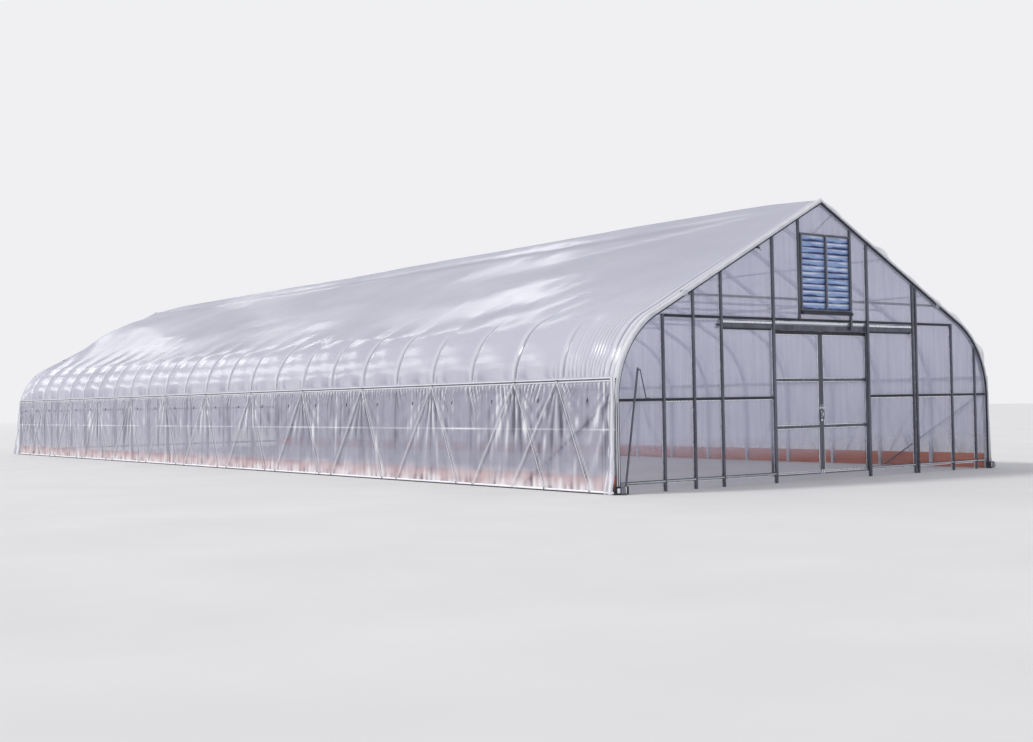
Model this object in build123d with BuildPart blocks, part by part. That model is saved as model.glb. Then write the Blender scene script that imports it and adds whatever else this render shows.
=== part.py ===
from build123d import *
import os
from math import asin, atan, cos, degrees, hypot, radians, sin, sqrt, tan

# Polytunnel greenhouse: gothic bows under a film roof, roll-up film sides held by zigzag
# cords, and a clear gable with a pair of sliding doors and a louvred shutter.
# Millimetres. X runs across the house, Y along it and Z up. The origin is on the ground
# under the middle of the house, and the gable with the doors faces -Y.

# The house and its bows
width = 9144.0  # between the centre lines of the bow legs
bay = 1219.2  # from one bow to the next
bay_count = 24
bow_size = 60.0  # square tube of a bow
leg_height = 1350.0  # straight foot of a bow
bend_radius = 1500.0  # bend above the foot, to the corners of its centre line
bend_facets = 6  # straight lengths that a bend is drawn in
roof_pitch = 27.5  # degrees
seat = 0.3  # clearance of a round or sloping piece that rests on another

# Tubes that join the bows
tube_sides = 16  # faces that stand for a round tube
tie_lift = 325.0  # from the header's top to the middle of the ties
tie_size = 38.0
purlin_radius = 17.0
ridge_radius = 21.0
purlin_places = [1590.0, 2740.0]  # on each side of the ridge
brace_radius = 15.0
brace_lift = 50.0  # from the legs' top to the brace's
brace_run = 2250.0  # along the house, from the end bow to the brace's foot

# Sides
board_height = 270.0
board_thick = 38.0
girt_height = 950.0
girt_width = 25.0
girt_thick = 16.0
hip_lift = 334.0  # from the legs' top to the middle of the hip rail
hip_rail_width = 60.0
hip_rail_thick = 25.0
curtain_thick = 8.0  # a stand-in for thin film
curtain_gap = 12.0  # between the curtain's foot and the side board
roll_radius = 21.0
roll_height = 25.0  # middle of the roll tube above the ground
roll_overhang = 60.0  # past each end bow

# Roof film, swollen with air between the end bows
film_thick = 6.0  # a stand-in for thin film
puff = 120.0  # from the bows' centre line to the swollen film
puff_run = bay  # length over which it swells
puffed_ridge = 300.0  # radius of the film over the ridge
tight_ridge = film_thick + 1.0
crown_steps = 2
film_rise = 40.0  # upright part of the tight film above the hip rail

# Hold-down cords, from hooks on the hip rails to pegs in the ground
cord_radius = 3.0
cord_near_run = 850.0
cord_far_run = 1100.0
cord_bays = 2  # from hook to hook
first_hook = 1340.0  # from each gable
hook_reach = 40.0
hook_width = 20.0
hook_thick = 16.0
cord_inset = 8.0  # from the hook's tip to the cord
cord_drop = 2.0  # from the hook to the middle of the cord's end
cord_spread = 6.0  # half the space between two cords at a hook
peg_radius = 5.0
peg_height = 60.0
cord_foot = 30.0

# Gable framing
post_size = 40.0
jamb_size = 50.0
post_depth = 40.0
panel_thick = 10.0
header_height = 2655.0
middle_rail_height = 1380.0
bottom_rail_height = 150.0
rail_size = 40.0
left_jamb = -1175.0
right_jamb = 1190.0
tall_posts = [-2980.0, -2370.0, 2435.0, 2525.0]  # from the ground to the bow
corner_post_inset = 322.0  # from the right-hand leg's middle to the tall post beside it
header_left_inset = 952.0  # from the left-hand leg's middle to the header's end
header_right_inset = 1022.0
back_posts_x = [-2400.0, -1200.0, 0.0, 1200.0, 2400.0]

# Shutter over the doors
shutter_left = -520.0
shutter_right = 740.0
shutter_lift = 135.0  # from the header's top to the shutter's frame
shutter_drop = 540.0  # from the ridge to the shutter's frame
shutter_post_drop = 165.0  # from the header's top to the foot of the right-hand post
shutter_front = 40.0  # how far its frame stands in front of the bow's centre plane
stile_width = 30.0
mullion_width = 24.0
blade_count = 12
blade_thick = 3.0
blade_gap = 2.0  # between one blade and the next
blade_overlap = 8.0
blade_lean = 14.0  # how far a closed blade's lower edge stands out
blade_lip = 9.0
tie_bar_width = 14.0
tie_bar_thick = 5.0
sill_reach = 55.0
sill_height = 55.0
sill_nose = 20.0
peak_brace_radius = 8.0
peak_brace_top_x = 340.0
peak_brace_top_drop = 190.0  # below the ridge
peak_brace_foot_x = -120.0
peak_brace_foot_lift = 13.0  # above the shutter

# Sliding doors
leaf_width = 1200.0
leaf_bottom = 100.0
leaf_top = 2460.0
leaf_size = 40.0
leaf_gap = 6.0  # between the closed leaves
leaf_rails = [890.0, 1665.0]
pane_thick = 10.0
track_left = -2420.0
track_right = 2440.0
track_bottom = 2485.0
track_height = 85.0
track_width = 60.0
track_wall = 3.0
track_slot = 18.0
cover_thick = 3.0
cover_height = 50.0
hanger_thick = 8.0
hanger_width = 90.0
hanger_inset = 180.0  # from a leaf's edge to the middle of its hanger
wheel_radius = 20.0  # to the corners of the many-sided wheel
wheel_width = 12.0
wheel_offset = 14.0  # from the hanger's middle to the wheel's middle
axle_radius = 6.0
axle_spacing = 56.0
handle_low = 1020.0
handle_high = 1150.0
handle_reach = 38.0
handle_radius = 6.0
latch_height = 1240.0
latch_size = 30.0
latch_thick = 8.0

# Roll-up gear at the near corners
gear_width = 240.0
gear_depth = 70.0
gear_height = 115.0
gear_bottom = 5.0
gear_round = 12.0
gear_plate = 12.0
gear_housing_width = 125.0
gear_cover = 8.0
gear_cover_radius = 42.0
pole_radius = 16.0
pole_inset = 87.0  # from the gear's middle to the pole's foot
pole_reach = 279.0  # how far the pole leans towards the doors
pole_height = 1854.0
crank_reach = 35.0
crank_radius = 9.0
crank_drop = 30.0  # from the pole's top to the crank's shaft
crank_across = 108.0  # from the shaft to the grip
crank_down = 424.0
grip_length = 80.0

# Places that follow from these sizes
half_width = width / 2
length = bay * bay_count
front_y = -length / 2
back_y = length / 2
half_bow = bow_size / 2
half_depth = post_depth / 2
panel_back = front_y + half_depth + panel_thick
slope = radians(roof_pitch)
bend_turn = 90.0 - roof_pitch
bend_x = half_width - bend_radius
leg_face = half_width + half_bow
hip_height = leg_height + hip_lift
brace_top = leg_height + brace_lift
bend_rise = leg_height + bend_radius * cos(slope)
ridge_height = bend_rise + (bend_x + bend_radius * sin(slope)) * tan(slope)
bow_places = [front_y + bay * i for i in range(bay_count + 1)]
header_left = header_left_inset - half_width
header_right = half_width - header_right_inset
header_top = header_height + rail_size / 2
header_low = header_height - rail_size / 2
tie_height = header_top + tie_lift
shutter_bottom = header_top + shutter_lift
shutter_top = ridge_height - shutter_drop


def across(y):
    # Upright plane across the house, at the distance y along it
    return Plane.XZ.offset(-y)


def both_sides(x):
    return [x, -x]


def arc_points(centre, radius, start, end, steps):
    # Points around the centre from the angle start to the angle end, in degrees
    angles = [radians(start + (end - start) * i / steps) for i in range(steps + 1)]
    return [(centre[0] + radius * cos(a), centre[1] + radius * sin(a)) for a in angles]


def bend_points(offset, first, last):
    # Corners of the right-hand bend, from one facet's foot to another's head, on a line
    # offset outwards from the centre line
    step = bend_turn / bend_facets
    centre = (bend_x, leg_height)
    return arc_points(centre, bend_radius + offset, step * first, step * last, last - first)


def slope_height(x, offset):
    # Height, over x, of the line that runs above a rafter's centre line by offset
    return ridge_height + offset / cos(slope) - abs(x) * tan(slope)


bow_planes = [across(y) for y in bow_places]
front_plane = across(front_y)
back_plane = across(back_y)


# Bows, in the lengths that they are joined from
def bend_sketch(first, last):
    # Stretch of the right-hand bend, and the same stretch on the left
    with BuildSketch() as drawn:
        with BuildLine():
            outer = bend_points(half_bow, first, last)
            inner = bend_points(-half_bow, first, last)
            Polyline(*outer, *reversed(inner), close=True)
        make_face()
        mirror(about=Plane.YZ)
    return drawn.sketch


def rafter_sketch(side):
    # Straight part of a bow from its bend to the ridge, on the side 1 or -1
    lower = bend_points(-half_bow, 0, bend_facets)[-1]
    upper = bend_points(half_bow, 0, bend_facets)[-1]
    with BuildSketch() as drawn:
        with BuildLine():
            Polyline(
                (side * lower[0], lower[1]),
                (side * upper[0], upper[1]),
                (0, slope_height(0, half_bow)),
                (0, slope_height(0, -half_bow)),
                close=True,
            )
        make_face()
    return drawn.sketch


with BuildPart() as bow_legs:
    with BuildSketch(*bow_planes):
        with Locations(*[(x, leg_height / 2) for x in both_sides(half_width)]):
            Rectangle(bow_size, leg_height)
    extrude(amount=half_bow, both=True)

lower_joint = bend_facets // 3
upper_joint = 2 * lower_joint

with BuildPart() as bow_lower_bends:
    with BuildSketch(*bow_planes):
        add(bend_sketch(0, lower_joint))
    extrude(amount=half_bow, both=True)

with BuildPart() as bow_middle_bends:
    with BuildSketch(*bow_planes):
        add(bend_sketch(lower_joint, upper_joint))
    extrude(amount=half_bow, both=True)

with BuildPart() as bow_upper_bends:
    with BuildSketch(*bow_planes):
        add(bend_sketch(upper_joint, bend_facets))
    extrude(amount=half_bow, both=True)

with BuildPart() as left_rafters:
    with BuildSketch(*bow_planes):
        add(rafter_sketch(-1))
    extrude(amount=half_bow, both=True)

with BuildPart() as right_rafters:
    with BuildSketch(*bow_planes):
        add(rafter_sketch(1))
    extrude(amount=half_bow, both=True)

# Collar ties, bolted to the sides of the bows that look into the house
tie_offset = half_bow + tie_size / 2
tie_places = [y + tie_offset for y in bow_places[:-1]] + [back_y - tie_offset]
tie_half = (ridge_height - tie_height) / tan(slope)

with BuildPart() as collar_ties:
    with BuildSketch(*[across(y) for y in tie_places]):
        with Locations((0, tie_height)):
            Rectangle(2 * tie_half, tie_size)
    extrude(amount=tie_size / 2, both=True)

# Round tubes along the house, under the rafters and between the gables' clear sheets
ridge_tube = (0, slope_height(0, -half_bow - seat - ridge_radius))
purlin_tubes = [
    (x, slope_height(x, -half_bow - seat - purlin_radius))
    for place in purlin_places
    for x in both_sides(place)
]

with BuildPart() as roof_purlins:
    with BuildSketch(across(panel_back)):
        with Locations(ridge_tube):
            RegularPolygon(ridge_radius, tube_sides)
        with Locations(*purlin_tubes):
            RegularPolygon(purlin_radius, tube_sides)
    extrude(amount=2 * panel_back)

# Side boards, girts and hip rails, on the outer face of the bows
rail_low = hip_height - hip_rail_width / 2
rail_top = hip_height + hip_rail_width / 2
rail_facet = bend_points(half_bow, 1, 2)
rail_slant = (rail_facet[1][0] - rail_facet[0][0]) / (rail_facet[1][1] - rail_facet[0][1])
rail_inner = rail_facet[0][0] + rail_slant * (rail_low - rail_facet[0][1]) + seat
rail_outer = rail_inner + hip_rail_thick
board_outer = leg_face + board_thick


def long_bars(low_x, high_x, middle_z, height):
    # A bar of rectangular section along each side of the house
    with BuildPart() as bars:
        with BuildSketch(front_plane):
            with Locations(*[(x, middle_z) for x in both_sides((low_x + high_x) / 2)]):
                Rectangle(high_x - low_x, height)
        extrude(amount=-length)
    return bars


baseboards = long_bars(leg_face, board_outer, board_height / 2, board_height)
side_girts = long_bars(leg_face, leg_face + girt_thick, girt_height, girt_width)
hip_rails = long_bars(rail_inner, rail_outer, hip_height, hip_rail_width)

# Wind braces on the inner face of the legs, from the end bows down along the sides
brace_x = half_width - half_bow - seat - brace_radius
brace_start = half_bow + brace_radius
brace_drop = brace_top - brace_radius


def brace_plane(x, end):
    # Plane square to a brace at its top, where end is 1 at the front and -1 at the back
    top = (x, end * (front_y + brace_start), brace_top)
    return Plane(origin=top, z_dir=(0, end * brace_run, -brace_drop))


# Short brace behind the front gable's clear sheet, from the right rafter down to the shutter
peak_brace_y = front_y + half_bow + seat + peak_brace_radius
peak_brace_top = ridge_height - peak_brace_top_drop
peak_run = peak_brace_foot_x - peak_brace_top_x
peak_fall = shutter_top + peak_brace_foot_lift - peak_brace_top
peak_plane = Plane(
    origin=(peak_brace_top_x, peak_brace_y, peak_brace_top),
    z_dir=(peak_run, 0, peak_fall),
)

with BuildPart() as braces:
    with BuildSketch(*[brace_plane(x, end) for x in both_sides(brace_x) for end in (1, -1)]):
        RegularPolygon(brace_radius, 8)
    extrude(amount=hypot(brace_run, brace_drop))
    with BuildSketch(peak_plane):
        RegularPolygon(peak_brace_radius, 8)
    extrude(amount=hypot(peak_run, peak_fall))

# Roof film: tight over the end bows, and swollen over the bows between them. It is drawn in
# strips from end to end, over each side's bend and slope and over the ridge.
film_foot = rail_top + seat
tight_gap = half_bow + seat + film_thick
tight_radius = bend_radius + tight_gap
tight_apex = slope_height(0, tight_gap)
puffed_apex = slope_height(0, puff)
puffed_rise = (puffed_apex - film_foot) * cos(slope)
puffed_radius = (puffed_rise - rail_outer * sin(slope)) / (1 - sin(slope))


def film_line(shoulder, apex, crown):
    # One face of the film from hip to hip: the right shoulder's points, and a crown of the
    # radius given below the slopes' meeting point
    over = (0, apex - crown / cos(slope))
    right = shoulder + arc_points(over, crown, bend_turn, 90, crown_steps)
    return right + [(-x, z) for x, z in reversed(right[:-1])]


def tight_shoulder(depth):
    # Right shoulder of the film over an end bow: upright at its foot, then along the bend
    radius = tight_radius - depth
    start = degrees(asin((film_foot - leg_height) / radius))
    foot = arc_points((bend_x, leg_height), radius, start, start, 1)[0]
    risen = (foot[0], foot[1] + film_rise)
    return [foot, risen] + bend_points(tight_gap - depth, 2, bend_facets)


def tight_line(depth):
    # Face of the film over an end bow, at the depth below its outer face
    return film_line(
        tight_shoulder(depth), tight_apex - depth / cos(slope), tight_ridge - depth
    )


def puffed_line(depth):
    # Face of the swollen film, at the depth below its outer face. All its facets lean as
    # those of the tight line do, so that the film between the two is flat.
    step = bend_turn / bend_facets
    radius = puffed_radius - depth
    centre = (rail_outer - puffed_radius, film_foot)
    corners = radius / cos(radians(step / 2))
    bend = arc_points(centre, corners, 2 * step, bend_turn - step, bend_facets - 3)
    slope_corner = radius / cos(radians(step / 4))
    last = arc_points(centre, slope_corner, bend_turn - step / 4, bend_turn, 1)[:1]
    risen, turned = tight_shoulder(depth)[1:3]
    lean = (turned[1] - risen[1]) / (risen[0] - turned[0])
    foot = (rail_outer - depth, film_foot)
    knee = (foot[0], bend[0][1] - lean * (foot[0] - bend[0][0]))
    shoulder = [foot, knee] + bend + last
    return film_line(shoulder, puffed_apex - depth / cos(slope), puffed_ridge - depth)


def strip_ring(y, line, first, last):
    # Corners of the film's section between two of its corners, a hair short of the strip
    # before it
    outer = line(0)[first : last + 1]
    inner = line(film_thick)[first : last + 1]
    for face in (outer, inner):
        run = hypot(face[1][0] - face[0][0], face[1][1] - face[0][1])
        face[0] = tuple(a + (b - a) * seat / run for a, b in zip(face[0], face[1]))
    return [(x, y, z) for x, z in outer + inner[::-1]]


def flat_face(*corners):
    return Face(Wire.make_polygon(corners, close=True))


def film_strip(first, last):
    # One strip of the film from end to end, in flat triangles between its sections
    rings = [strip_ring(y, line, first, last) for y, line in film_places]
    faces = [flat_face(*rings[0]), flat_face(*rings[-1])]
    for near, far in zip(rings[:-1], rings[1:]):
        for i in range(len(near)):
            faces.append(flat_face(near[i - 1], near[i], far[i]))
            faces.append(flat_face(near[i - 1], far[i], far[i - 1]))
    return Solid(Shell(faces))


film_corners = len(tight_line(0)) - 1
half_strips = [0, 3, 5, film_corners // 2 - crown_steps]
film_joints = half_strips + [film_corners - i for i in reversed(half_strips)]
film_places = [
    (front_y - half_bow, tight_line),
    (front_y + half_bow, tight_line),
    (front_y + puff_run, puffed_line),
    (back_y - puff_run, puffed_line),
    (back_y - half_bow, tight_line),
    (back_y + half_bow, tight_line),
]

with BuildPart() as roof_film:
    for first, last in zip(film_joints[:-1], film_joints[1:]):
        add(film_strip(first, last))

# Side curtains of film, from the hip rail to the roll tube
curtain_top = rail_outer + seat
curtain_foot = board_outer + curtain_gap
roll_x = curtain_foot + curtain_thick + seat + roll_radius


def curtain(side):
    with BuildPart() as film:
        with BuildSketch(front_plane):
            with BuildLine():
                Polyline(
                    (side * curtain_top, hip_height),
                    (side * (curtain_top + curtain_thick), hip_height),
                    (side * (curtain_foot + curtain_thick), roll_height),
                    (side * curtain_foot, roll_height),
                    close=True,
                )
            make_face()
        extrude(amount=-length)
    return film


left_curtain = curtain(-1)
right_curtain = curtain(1)

with BuildPart() as roll_tubes:
    with BuildSketch(across(front_y - roll_overhang)):
        with Locations(*[(x, roll_height) for x in both_sides(roll_x)]):
            RegularPolygon(roll_radius, tube_sides)
    extrude(amount=-length - 2 * roll_overhang)

# Hooks on the hip rails, and taut cords from them to pegs in the ground
hook_places = [bow_places[i] for i in range(cord_bays, bay_count, cord_bays)]
near_hooks = [front_y + first_hook] + hook_places
far_hooks = hook_places + [back_y - first_hook]
hook_low = hip_height + hip_rail_width / 2 - hook_thick - hook_width / 4
cord_top_x = rail_outer + hook_reach - cord_inset
cord_top_z = hook_low - cord_drop
cord_foot_x = roll_x + roll_radius + 2 * cord_radius
peg_x = cord_foot_x + cord_radius + seat + peg_radius

with BuildPart() as cord_hooks:
    for y in sorted(set(near_hooks + far_hooks)):
        with BuildSketch(across(y)):
            for x in both_sides(rail_outer + hook_reach / 2):
                with Locations((x, hook_low + hook_thick / 2)):
                    Rectangle(hook_reach, hook_thick)
        extrude(amount=hook_width / 2, both=True)


def cord_set(side):
    # The cords of one side, each a straight six-sided bar
    with BuildPart() as cords:
        for hooks, run, turn in ((near_hooks, cord_near_run, -1), (far_hooks, cord_far_run, 1)):
            drop = cord_top_z - cord_foot
            lean = cord_foot_x - cord_top_x
            reach = run - cord_spread
            planes = [
                Plane(
                    origin=(side * cord_top_x, y + turn * cord_spread, cord_top_z),
                    z_dir=(side * lean, turn * reach, -drop),
                )
                for y in hooks
            ]
            with BuildSketch(*planes):
                RegularPolygon(cord_radius, 6)
            extrude(amount=sqrt(drop**2 + lean**2 + reach**2))
    return cords


left_cords = cord_set(-1)
right_cords = cord_set(1)

peg_places = [y - cord_near_run for y in near_hooks] + [y + cord_far_run for y in far_hooks]

with BuildPart() as cord_pegs:
    with BuildSketch():
        with Locations(*[(x, y) for x in both_sides(peg_x) for y in peg_places]):
            RegularPolygon(peg_radius, 6)
    extrude(amount=peg_height)


# Gables: everything is cut to the inner face of the end bow
def arch_sketch(offset):
    # Area under the bow line offset outwards, down to the ground
    bend = bend_points(offset, 0, bend_facets)
    with BuildSketch() as drawn:
        with BuildLine():
            Polyline(
                (0, slope_height(0, offset)),
                (0, 0),
                (half_width + offset, 0),
                *bend,
                close=True,
            )
        make_face()
        mirror(about=Plane.YZ)
    return drawn.sketch


gable_area = arch_sketch(-half_bow - seat)
shutter_post_foot = header_top - shutter_post_drop
shutter_posts = [
    (shutter_left - post_size / 2, post_size, header_top, ridge_height),
    (shutter_right + post_size / 2, post_size, shutter_post_foot, ridge_height),
]
front_uprights = (
    [(x, post_size, 0, ridge_height) for x in tall_posts + [half_width - corner_post_inset]]
    + [(x, jamb_size, 0, ridge_height) for x in (left_jamb, right_jamb)]
    + [(x, post_size, 0, header_top) for x in (header_left, header_right)]
    + shutter_posts
)
back_uprights = [(x, post_size, 0, ridge_height) for x in back_posts_x] + [
    (x, post_size, 0, header_top) for x in (header_left, -header_left)
]
front_rail_runs = [
    (header_left, header_right, header_height),
    (-half_width, left_jamb, middle_rail_height),
    (right_jamb, half_width, middle_rail_height),
    (-half_width, left_jamb, bottom_rail_height),
    (right_jamb, half_width, bottom_rail_height),
]
back_rail_runs = [
    (header_left, -header_left, header_height),
    (-half_width, half_width, middle_rail_height),
    (-half_width, half_width, bottom_rail_height),
]


def upright_sketch(uprights):
    with BuildSketch() as drawn:
        for x, size, low, high in uprights:
            with Locations((x, (low + high) / 2)):
                Rectangle(size, high - low)
        add(gable_area, mode=Mode.INTERSECT)
    return drawn.sketch


def rail_sketch(runs, uprights):
    # Rails between the posts
    with BuildSketch() as drawn:
        for low, high, height in runs:
            with Locations(((low + high) / 2, height)):
                Rectangle(high - low, rail_size)
        add(gable_area, mode=Mode.INTERSECT)
        add(upright_sketch(uprights), mode=Mode.SUBTRACT)
    return drawn.sketch


def panel_sketch(low_x, high_x, low_z):
    # Clear sheet between low_x and high_x, from low_z up to the bow
    with BuildSketch() as drawn:
        with Locations(((low_x + high_x) / 2, (low_z + ridge_height) / 2)):
            Rectangle(high_x - low_x, ridge_height - low_z)
        add(gable_area, mode=Mode.INTERSECT)
    return drawn.sketch


def gable_part(plane, drawing, amount, both=False):
    with BuildPart() as made:
        with BuildSketch(plane):
            add(drawing)
        extrude(amount=amount, both=both)
    return made


panel_plane = across(front_y + half_depth)
doorway_left = left_jamb + jamb_size / 2
doorway_right = right_jamb - jamb_size / 2
front_posts = gable_part(front_plane, upright_sketch(front_uprights), half_depth, True)
front_rails = gable_part(
    front_plane, rail_sketch(front_rail_runs, front_uprights), half_depth, True
)
front_left_panel = gable_part(
    panel_plane, panel_sketch(-half_width, doorway_left, 0), -panel_thick
)
front_right_panel = gable_part(
    panel_plane, panel_sketch(doorway_right, half_width, 0), -panel_thick
)
back_posts = gable_part(back_plane, upright_sketch(back_uprights), half_depth, True)
back_rails = gable_part(
    back_plane, rail_sketch(back_rail_runs, back_uprights), half_depth, True
)
back_panel = gable_part(
    across(back_y - half_depth), panel_sketch(-half_width, half_width, 0), panel_thick
)

shutter_x = (shutter_left + shutter_right) / 2
shutter_z = (shutter_bottom + shutter_top) / 2
shutter_width = shutter_right - shutter_left
shutter_height = shutter_top - shutter_bottom

with BuildPart() as front_top_panel:
    with BuildSketch(panel_plane):
        add(panel_sketch(doorway_left, doorway_right, header_low))
        with Locations((shutter_x, shutter_z)):
            Rectangle(shutter_width, shutter_height, mode=Mode.SUBTRACT)
    extrude(amount=-panel_thick)

# Shutter: a frame with a mullion, two columns of linked blades, and a sloping sill
opening_bottom = shutter_bottom + stile_width
opening_top = shutter_top - stile_width
opening_height = opening_top - opening_bottom
column_width = (shutter_width - 2 * stile_width - mullion_width) / 2
column_offset = (mullion_width + column_width) / 2
blade_pitch = (opening_height - blade_overlap) / blade_count
blade_height = blade_pitch + blade_overlap - blade_gap

with BuildPart() as shutter_frame:
    with BuildSketch(across(front_y - shutter_front)):
        with Locations((shutter_x, shutter_z)):
            Rectangle(shutter_width, shutter_height)
        with Locations(*[(shutter_x + s * column_offset, shutter_z) for s in (-1, 1)]):
            Rectangle(column_width, opening_height, mode=Mode.SUBTRACT)
    extrude(amount=-shutter_front - half_depth - panel_thick)


blade_length = column_width - 2 * seat

# Closed blades, each a thin strip whose lower lip stands out over the blade below
with BuildPart() as shutter_blades:
    for side in (-1, 1):
        with BuildSketch(Plane.YZ.offset(shutter_x + side * column_offset)):
            for i in range(blade_count):
                low = opening_bottom + blade_gap / 2 + blade_pitch * i
                with BuildLine():
                    Polyline(
                        (front_y, low + blade_height),
                        (front_y - blade_lean, low),
                        (front_y - blade_lean - blade_lip, low),
                        (front_y - blade_lean - blade_lip, low + blade_thick),
                        (front_y - blade_lean - blade_thick, low + blade_thick),
                        (front_y - blade_thick, low + blade_height),
                        close=True,
                    )
                make_face()
        extrude(amount=blade_length / 2, both=True)

tie_bar_x = shutter_x + mullion_width / 2 + 2 * tie_bar_width
tie_bar_face = front_y - blade_lean - blade_lip - seat

with BuildPart() as blade_tie_bar:
    with BuildSketch(across(tie_bar_face)):
        with Locations((tie_bar_x, shutter_z)):
            Rectangle(tie_bar_width, opening_height - blade_pitch)
    extrude(amount=tie_bar_thick)

with BuildPart() as shutter_sill:
    with BuildSketch(Plane.YZ.offset(shutter_left)):
        with BuildLine():
            Polyline(
                (front_y + half_depth, shutter_bottom),
                (front_y - shutter_front, shutter_bottom),
                (front_y - half_depth - sill_reach, shutter_bottom - sill_nose),
                (front_y - half_depth - sill_reach, shutter_bottom - sill_height),
                (front_y + half_depth, shutter_bottom - sill_height),
                close=True,
            )
        make_face()
    extrude(amount=shutter_width)

# Door track: a box rail open below, with a cover strip above, behind the clear sheets
track_y = panel_back + track_width / 2
track_length = track_right - track_left
track_top = track_bottom + track_height

track_middle = track_bottom + track_height / 2
lip_width = (track_width - track_slot) / 2

with BuildPart() as track_web:
    with BuildSketch(Plane.YZ.offset(track_left)):
        with Locations((track_y, track_top - track_wall / 2)):
            Rectangle(track_width, track_wall)
    extrude(amount=track_length)

with BuildPart() as track_sides:
    with BuildSketch(Plane.YZ.offset(track_left)):
        for s in (-1, 1):
            with Locations((track_y + s * (track_width - track_wall) / 2, track_middle)):
                Rectangle(track_wall, track_height - 2 * track_wall)
    extrude(amount=track_length)

with BuildPart() as track_lips:
    with BuildSketch(Plane.YZ.offset(track_left)):
        for s in (-1, 1):
            lip_y = track_y + s * (track_slot + lip_width) / 2
            with Locations((lip_y, track_bottom + track_wall / 2)):
                Rectangle(lip_width, track_wall)
    extrude(amount=track_length)

with BuildPart() as track_cover:
    with BuildSketch(Plane.YZ.offset(track_left)):
        with BuildLine():
            Polyline(
                (panel_back, track_top),
                (panel_back + track_width, track_top),
                (panel_back + track_width, track_top + cover_thick),
                (panel_back + cover_thick, track_top + cover_thick),
                (panel_back + cover_thick, track_top + cover_height),
                (panel_back, track_top + cover_height),
                close=True,
            )
        make_face()
    extrude(amount=track_length)

# Sliding leaves: a tube frame with three clear panes, hung from two trolleys
leaf_middle = (leaf_gap + leaf_width) / 2
rail_heights = [leaf_bottom + leaf_size / 2] + leaf_rails + [leaf_top - leaf_size / 2]
pane_width = leaf_width - 2 * leaf_size
pane_places = [
    ((low + high) / 2, high - low - leaf_size)
    for low, high in zip(rail_heights[:-1], rail_heights[1:])
]
leaf_plane = across(track_y)
leaf_front = track_y - leaf_size / 2
wheel_height = track_bottom + track_wall + wheel_radius + seat


def leaf_frame(side):
    with BuildPart() as frame:
        with BuildSketch(leaf_plane):
            with Locations((side * leaf_middle, (leaf_bottom + leaf_top) / 2)):
                Rectangle(leaf_width, leaf_top - leaf_bottom)
            for middle, height in pane_places:
                with Locations((side * leaf_middle, middle)):
                    Rectangle(pane_width, height, mode=Mode.SUBTRACT)
        extrude(amount=leaf_size / 2, both=True)
    return frame


def leaf_panes(side):
    with BuildPart() as panes:
        with BuildSketch(leaf_plane):
            for middle, height in pane_places:
                with Locations((side * leaf_middle, middle)):
                    Rectangle(pane_width, height)
        extrude(amount=pane_thick / 2, both=True)
    return panes


def leaf_trolleys(side):
    # Hanger plates that pass through the slot of the track, each with four wheels
    places = [side * leaf_middle + s * (leaf_width / 2 - hanger_inset) for s in (-1, 1)]
    hanger_top = wheel_height + 2 * axle_radius
    with BuildPart() as trolleys:
        for x in places:
            axles = [(x + s * axle_spacing / 2, wheel_height) for s in (-1, 1)]
            with BuildSketch(leaf_plane):
                with Locations((x, (leaf_top + hanger_top) / 2)):
                    Rectangle(hanger_width, hanger_top - leaf_top)
            extrude(amount=hanger_thick / 2, both=True)
            with BuildSketch(leaf_plane):
                with Locations(*axles):
                    RegularPolygon(axle_radius, tube_sides // 2)
            extrude(amount=wheel_offset, both=True)
            for s in (-1, 1):
                with BuildSketch(across(track_y + s * wheel_offset)):
                    with Locations(*axles):
                        RegularPolygon(wheel_radius, tube_sides)
                extrude(amount=wheel_width / 2, both=True)
    return trolleys


def leaf_latch(side):
    # Pull handle and latch plate on the stile beside the gap
    x = side * (leaf_gap + leaf_size) / 2
    front = leaf_front - handle_reach
    with BuildPart() as latch:
        with BuildLine():
            Polyline(
                (x, leaf_front, handle_low),
                (x, front, handle_low),
                (x, front, handle_high),
                (x, leaf_front, handle_high),
            )
        with BuildSketch(Plane(origin=(x, leaf_front, handle_low), z_dir=(0, -1, 0))):
            RegularPolygon(handle_radius, 8)
        sweep(transition=Transition.RIGHT)
        with BuildSketch(across(leaf_front)):
            with Locations((x, latch_height)):
                Rectangle(latch_size, latch_size)
            with Locations((x, (handle_high + latch_height) / 2)):
                Rectangle(latch_size / 2, latch_height - handle_high)
        extrude(amount=latch_thick)
    return latch


left_door_frame = leaf_frame(-1)
left_door_panes = leaf_panes(-1)
left_door_trolleys = leaf_trolleys(-1)
left_door_handle = leaf_latch(-1)
right_door_frame = leaf_frame(1)
right_door_panes = leaf_panes(1)
right_door_trolleys = leaf_trolleys(1)
right_door_handle = leaf_latch(1)

# Roll-up gear: a gearbox at the near end of each roll tube, and the crank of the left one
gear_back = front_y - roll_overhang
gear_x = roll_x + roll_radius - gear_width / 2
gear_z = gear_bottom + gear_height / 2
gear_top = gear_bottom + gear_height
gear_housing_x = gear_x - (gear_width - gear_housing_width) / 2
pole_foot_x = gear_x - pole_inset
pole_y = gear_back - gear_depth / 2

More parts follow.
